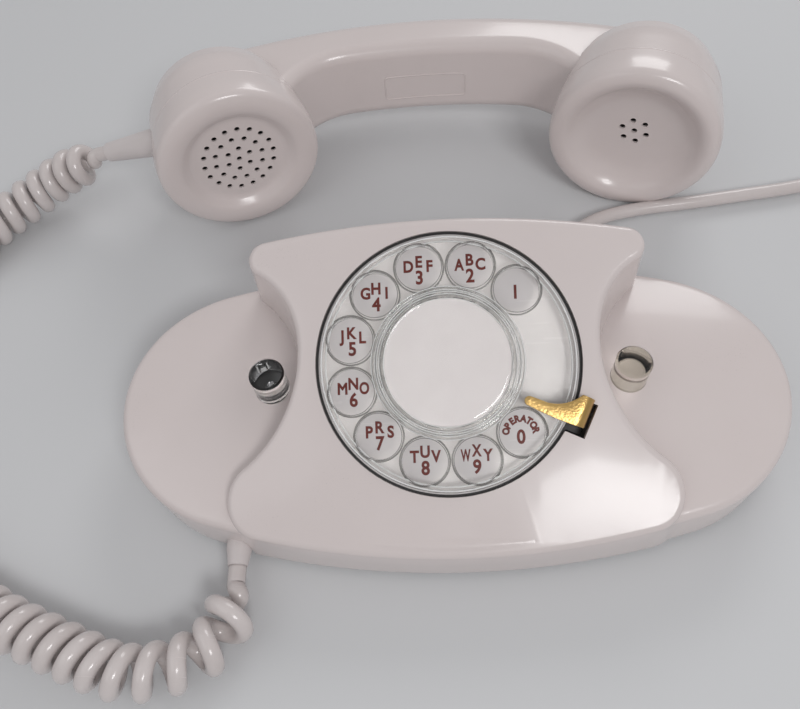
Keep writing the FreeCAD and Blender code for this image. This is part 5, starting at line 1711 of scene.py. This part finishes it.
def evenly(points: Sequence[Vector], spacing: float) -> list[Vector]:
    """Points along a line of points, evenly spaced.

    Args:
        points: the line's points.
        spacing: distance wanted between two points.

    Returns:
        The new points, from the first to the last.
    """
    lengths = [0.0]
    for here, there in zip(points, points[1:]):
        lengths.append(lengths[-1] + (there - here).length)
    count = max(2, round(lengths[-1] / spacing))
    found = []
    k = 0
    for i in range(count + 1):
        at = lengths[-1] * i / count
        while k < len(points) - 2 and lengths[k + 1] < at:
            k += 1
        share = (at - lengths[k]) / max(1e-12, lengths[k + 1] - lengths[k])
        found.append(points[k].lerp(points[k + 1], share))
    return found


@dataclass
class CurlyCord:
    """Coiled handset cord from the base's front relief to the handset's boot."""

    palette: Palette
    wire: float = 0.0056
    outer: float = 0.017
    tip: Place = (-0.0672, -0.0493, 0.0068)
    boot_root: Place = (-0.1082, 0.106, 0.031)
    boot_tip: Place = (-0.1286, 0.108, 0.025)
    pitches: tuple[float, float, float] = (0.0096, 0.0072, 0.018)
    closes: tuple[float, float] = (0.03, 0.055)
    loosens: tuple[float, float] = (0.105, 0.135)
    closes_again: tuple[float, float] = (0.085, 0.06)
    swell_in: float = 0.009
    swell_out: float = 0.01
    trace: float = 0.00025
    spacing: float = 0.0008
    sides: int = 12
    route: tuple[Place, ...] = (
        (-0.0669, -0.062, 0.0093),
        (-0.0695, -0.0705, 0.0093),
        (-0.0775, -0.077, 0.0093),
        (-0.088, -0.08, 0.0093),
        (-0.0985, -0.0805, 0.0093),
        (-0.11, -0.0765, 0.0093),
        (-0.122, -0.0715, 0.0093),
        (-0.138, -0.065, 0.0093),
        (-0.156, -0.055, 0.0093),
        (-0.175, -0.038, 0.0093),
        (-0.19, -0.018, 0.0093),
        (-0.199, 0.005, 0.0093),
        (-0.202, 0.028, 0.0093),
        (-0.198, 0.051, 0.0093),
        (-0.189, 0.072, 0.0093),
        (-0.177, 0.088, 0.0098),
        (-0.163, 0.1, 0.0115),
        (-0.15, 0.107, 0.016),
    )

    def pitch(self, at: float, length: float) -> float:
        """Spacing of the curls at a distance along the cord.

        Args:
            at: the distance from the base's end.
            length: the cord's whole length along its curls' middle.

        Returns:
            The spacing there.
        """
        first, close, loose = self.pitches
        spacing = first + (close - first) * step(at, *self.closes)
        spacing += (loose - close) * step(at, *self.loosens)
        start, end = (length - before for before in self.closes_again)
        return spacing + (close - loose) * step(at, start, end)

    def line(self) -> list[Vector]:
        """The wire's own centreline, read round the route's smooth spline.

        Returns:
            Its points from the base to the boot.
        """
        homeward = (Vector(self.boot_root) - Vector(self.boot_tip)).normalized()
        start = Vector(self.tip) + Vector((0.0, -self.wire, 0.0))
        end = Vector(self.boot_tip) - homeward * self.wire
        route = smooth_spline("curl_route", [start, *[Vector(p) for p in self.route], end])
        traced = plain_mesh(route, "curl_route_line")
        drop(route)
        axis = evenly([v.co.copy() for v in traced.vertices], self.trace)
        length = sum((b - a).length for a, b in zip(axis, axis[1:]))
        gap = length / (len(axis) - 1)
        swell = 0.5 * (self.outer - self.wire)
        phase = 0.0
        points = [Vector(self.tip)]
        last = len(axis) - 1
        for i, centre in enumerate(axis):
            at = i * gap
            ahead = axis[min(i + 1, last)] - axis[max(i - 1, 0)]
            side = Vector((0.0, 0.0, 1.0)).cross(ahead).normalized()
            up = ahead.cross(side).normalized()
            size = swell * step(at, 0.0, self.swell_in) * step(length - at, 0.0, self.swell_out)
            points.append(centre + up * (size * math.cos(phase)) + side * (size * math.sin(phase)))
            phase += 2.0 * math.pi * gap / self.pitch(at, length)
        points.append(Vector(self.boot_tip))
        return points

    def build(self) -> None:
        line = evenly(self.line(), self.spacing)
        mesh = ring_tube("curly_cord", line, 0.5 * self.wire, self.sides)
        piece = as_object("curly_cord", mesh)
        self.palette.dress(piece, "cord_jacket")
        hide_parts("handset_cord")
        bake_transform(piece)


@dataclass
class LineCord:
    """Round line cord to its spare loops and modular plug."""

    palette: Palette
    thickness: float = 0.0052
    exit: Place = (0.04, 0.0476, 0.0068)
    heading: float = 78.0
    relief: float = 0.007
    first_run: float = 0.0094
    centre: Place = (0.192, 0.05, 0.0027)
    radius: float = 0.048
    turns: int = 2
    gap: float = 0.0007
    plug_out: float = 0.012
    plug_rest: float = 0.0042
    per_turn: int = 24
    contacts: int = 4
    contact_pitch: float = 0.0011
    contact_size: Place = (0.0005, 0.006, 0.0024)
    contact_ahead: float = 0.0185
    contact_drop: float = 0.0021
    route: tuple[Place, ...] = (
        (0.048, 0.0719, 0.0058),
        (0.0548, 0.0787, 0.0042),
        (0.0632, 0.0832, 0.0031),
        (0.0727, 0.0855, 0.0027),
        (0.0835, 0.087, 0.0027),
        (0.098, 0.0882, 0.0027),
        (0.116, 0.0906, 0.0027),
        (0.135, 0.0928, 0.0027),
        (0.152, 0.0966, 0.0027),
        (0.169, 0.098, 0.0027),
    )

    def loops(self) -> list[Vector]:
        """Control points of the spare loops: in on the table, up a layer, out on top.

        Returns:
            The points, from the first loop's start to the plug's end.
        """
        pitch = self.thickness + self.gap
        turns = 2.0 * self.turns + 0.5
        centre = Vector(self.centre)
        points = []
        for i in range(int(turns * self.per_turn) + 1):
            at = i / self.per_turn
            past = min(0.5, max(0.0, at - self.turns))
            inward = min(at, self.turns) + past * (1.0 - 2.0 * past)
            inward -= max(0.0, at - self.turns - 0.5)
            outward = self.plug_out * step(at, turns - 0.5, turns - 0.1)
            spot = around(self.radius - pitch * inward + outward, 90.0 - 360.0 * at)
            upper = centre.z + pitch * step(at, self.turns, self.turns + 0.5)
            spot.z = upper + (self.plug_rest - upper) * step(at, turns - 0.3, turns) - centre.z
            points.append(centre + spot)
        return points

    def build(self) -> None:
        away = around(1.0, self.heading)
        tip = Vector(self.exit) + away * self.relief
        loops = self.loops()
        last = (loops[-1] - loops[-2]).normalized()
        last.z = 0.0
        points = [tip, tip + away * self.first_run, *[Vector(p) for p in self.route], *loops]
        points.append(loops[-1] + last.normalized() * self.thickness)
        piece = smooth_spline("line_cord_jacket", points)
        piece.data.bevel_depth = 0.5 * self.thickness
        piece.data.bevel_resolution = 5
        piece.data.use_fill_caps = True
        length = self._length(points)
        self.palette.dress(piece, "cord_jacket")
        self.palette.dress(NODES["line_plug"], "clear_acrylic")
        contacts = self._contacts(loops[-1] + last.normalized() * self.thickness, last)
        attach(piece, "base")
        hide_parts("line_cord", "line_cord_coil")
        log.info("line cord: %.3f m", length)

    @staticmethod
    def _length(points: Sequence[Vector]) -> float:
        """Length of the smooth spline that the points control.

        Args:
            points: the control points.

        Returns:
            The length.
        """
        helper = smooth_spline("measure", points)
        mesh = plain_mesh(helper, "measure")
        drop(helper)
        line = [v.co.copy() for v in mesh.vertices]
        return sum((b - a).length for a, b in zip(line, line[1:]))

    def _contacts(self, start: Vector, heading: Vector) -> bpy.types.Object:
        """Gold contacts in the plug's nose.

        Args:
            start: where the plug begins.
            heading: the way it points.

        Returns:
            The contacts as one piece.
        """
        gold = self.palette.material("contact_gold")
        mesh = row_of_blades(
            "plug_contacts", self.contacts, self.contact_pitch, self.contact_size, gold
        )
        turn = Matrix.Rotation(math.atan2(heading.y, heading.x) - 0.5 * math.pi, 4, "Z")
        nose = start + heading.normalized() * self.contact_ahead
        nose += Vector((0.0, 0.0, -self.contact_drop))
        mesh.transform(Matrix.Translation(nose) @ turn)
        piece = as_object("plug_contacts", mesh)
        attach(piece, "base")
        return piece


# ---- studio --------------------------------------------------------------------------------------
@dataclass(frozen=True)
class Lamp:
    """One rectangular area lamp."""

    name: str
    place: Place
    size: float
    power: float


@dataclass
class Studio:
    """Plain pale floor, soft lamps and the camera."""

    eye: Place = (-0.00066, -0.10702, 0.24683)
    forward: Place = (-0.05789, 0.47657, -0.87723)
    right: Place = (0.9977, -0.00337, -0.06768)
    lens: float = 35.06
    sensor: float = 36.0
    near_clip: float = 0.005
    floor_half: float = 4.0
    floor_colour: Colour = (0.62, 0.625, 0.635)
    floor_roughness: float = 0.75
    lamp_aim: Place = (0.0, 0.03, 0.02)
    lamp_shape: float = 0.7
    sky_colour: Colour = (0.97, 0.965, 0.98)
    sky_strength: float = 0.44
    lights: tuple[Lamp, ...] = (
        Lamp("key", (0.30, -0.54, 0.74), 0.34, 2.8),
        Lamp("fill", (-0.62, -0.2, 0.75), 0.9, 0.9),
        Lamp("back", (0.3, 0.85, 0.6), 0.5, 2.3),
    )

    def camera(self) -> None:
        """Make the camera and set it as the scene's own."""
        data = bpy.data.cameras.new("camera")
        data.sensor_fit = "HORIZONTAL"
        data.sensor_width = self.sensor
        data.lens = self.lens
        data.clip_start = self.near_clip
        camera = as_object("camera", data)
        back = -Vector(self.forward).normalized()
        across = Vector(self.right)
        across = (across - back * across.dot(back)).normalized()
        up = back.cross(across)
        turn = Matrix((across, up, back)).transposed().to_4x4()
        camera.matrix_world = Matrix.Translation(self.eye) @ turn
        bpy.context.scene.camera = camera

    def floor(self) -> None:
        """Lay a wide plain floor at the table's level."""
        shape = bmesh.new()
        bmesh.ops.create_grid(shape, x_segments=4, y_segments=4, size=self.floor_half)
        mesh = bpy.data.meshes.new("floor")
        shape.to_mesh(mesh)
        shape.free()
        floor = as_object("floor", mesh)
        material = bpy.data.materials.new("floor_matt")
        material.use_nodes = True
        shader = material.node_tree.nodes["Principled BSDF"]
        shader.inputs["Base Color"].default_value = (*self.floor_colour, 1.0)
        shader.inputs["Roughness"].default_value = self.floor_roughness
        mesh.materials.append(material)

    def lamps(self) -> None:
        """Hang three soft area lamps and set a pale world."""
        for light in self.lights:
            data = bpy.data.lights.new(light.name, "AREA")
            data.shape = "RECTANGLE"
            data.size = light.size
            data.size_y = light.size * self.lamp_shape
            data.energy = light.power
            lamp = as_object(light.name, data)
            aim = Vector(self.lamp_aim) - Vector(light.place)
            turn = aim.to_track_quat("-Z", "Y").to_matrix().to_4x4()
            lamp.matrix_world = Matrix.Translation(light.place) @ turn
        world = bpy.data.worlds.new("world")
        bpy.context.scene.world = world
        world.use_nodes = True
        sky = world.node_tree.nodes["Background"]
        sky.inputs["Color"].default_value = (*self.sky_colour, 1.0)
        sky.inputs["Strength"].default_value = self.sky_strength

    def build(self) -> None:
        """Set up the whole studio."""
        self.camera()
        self.floor()
        self.lamps()
        bpy.context.scene.view_settings.view_transform = "Standard"
        log.info("studio ready")


def main() -> None:
    """Build every sub-assembly in order."""
    palette = Palette()
    Studio().build()
    CurlyCord(palette).build()
    LineCord(palette).build()
    Base(palette).build()
    HookAndWorks(palette).build()
    Dial(palette).build()
    Handset(palette).build()


if __name__ == "__main__":
    main()
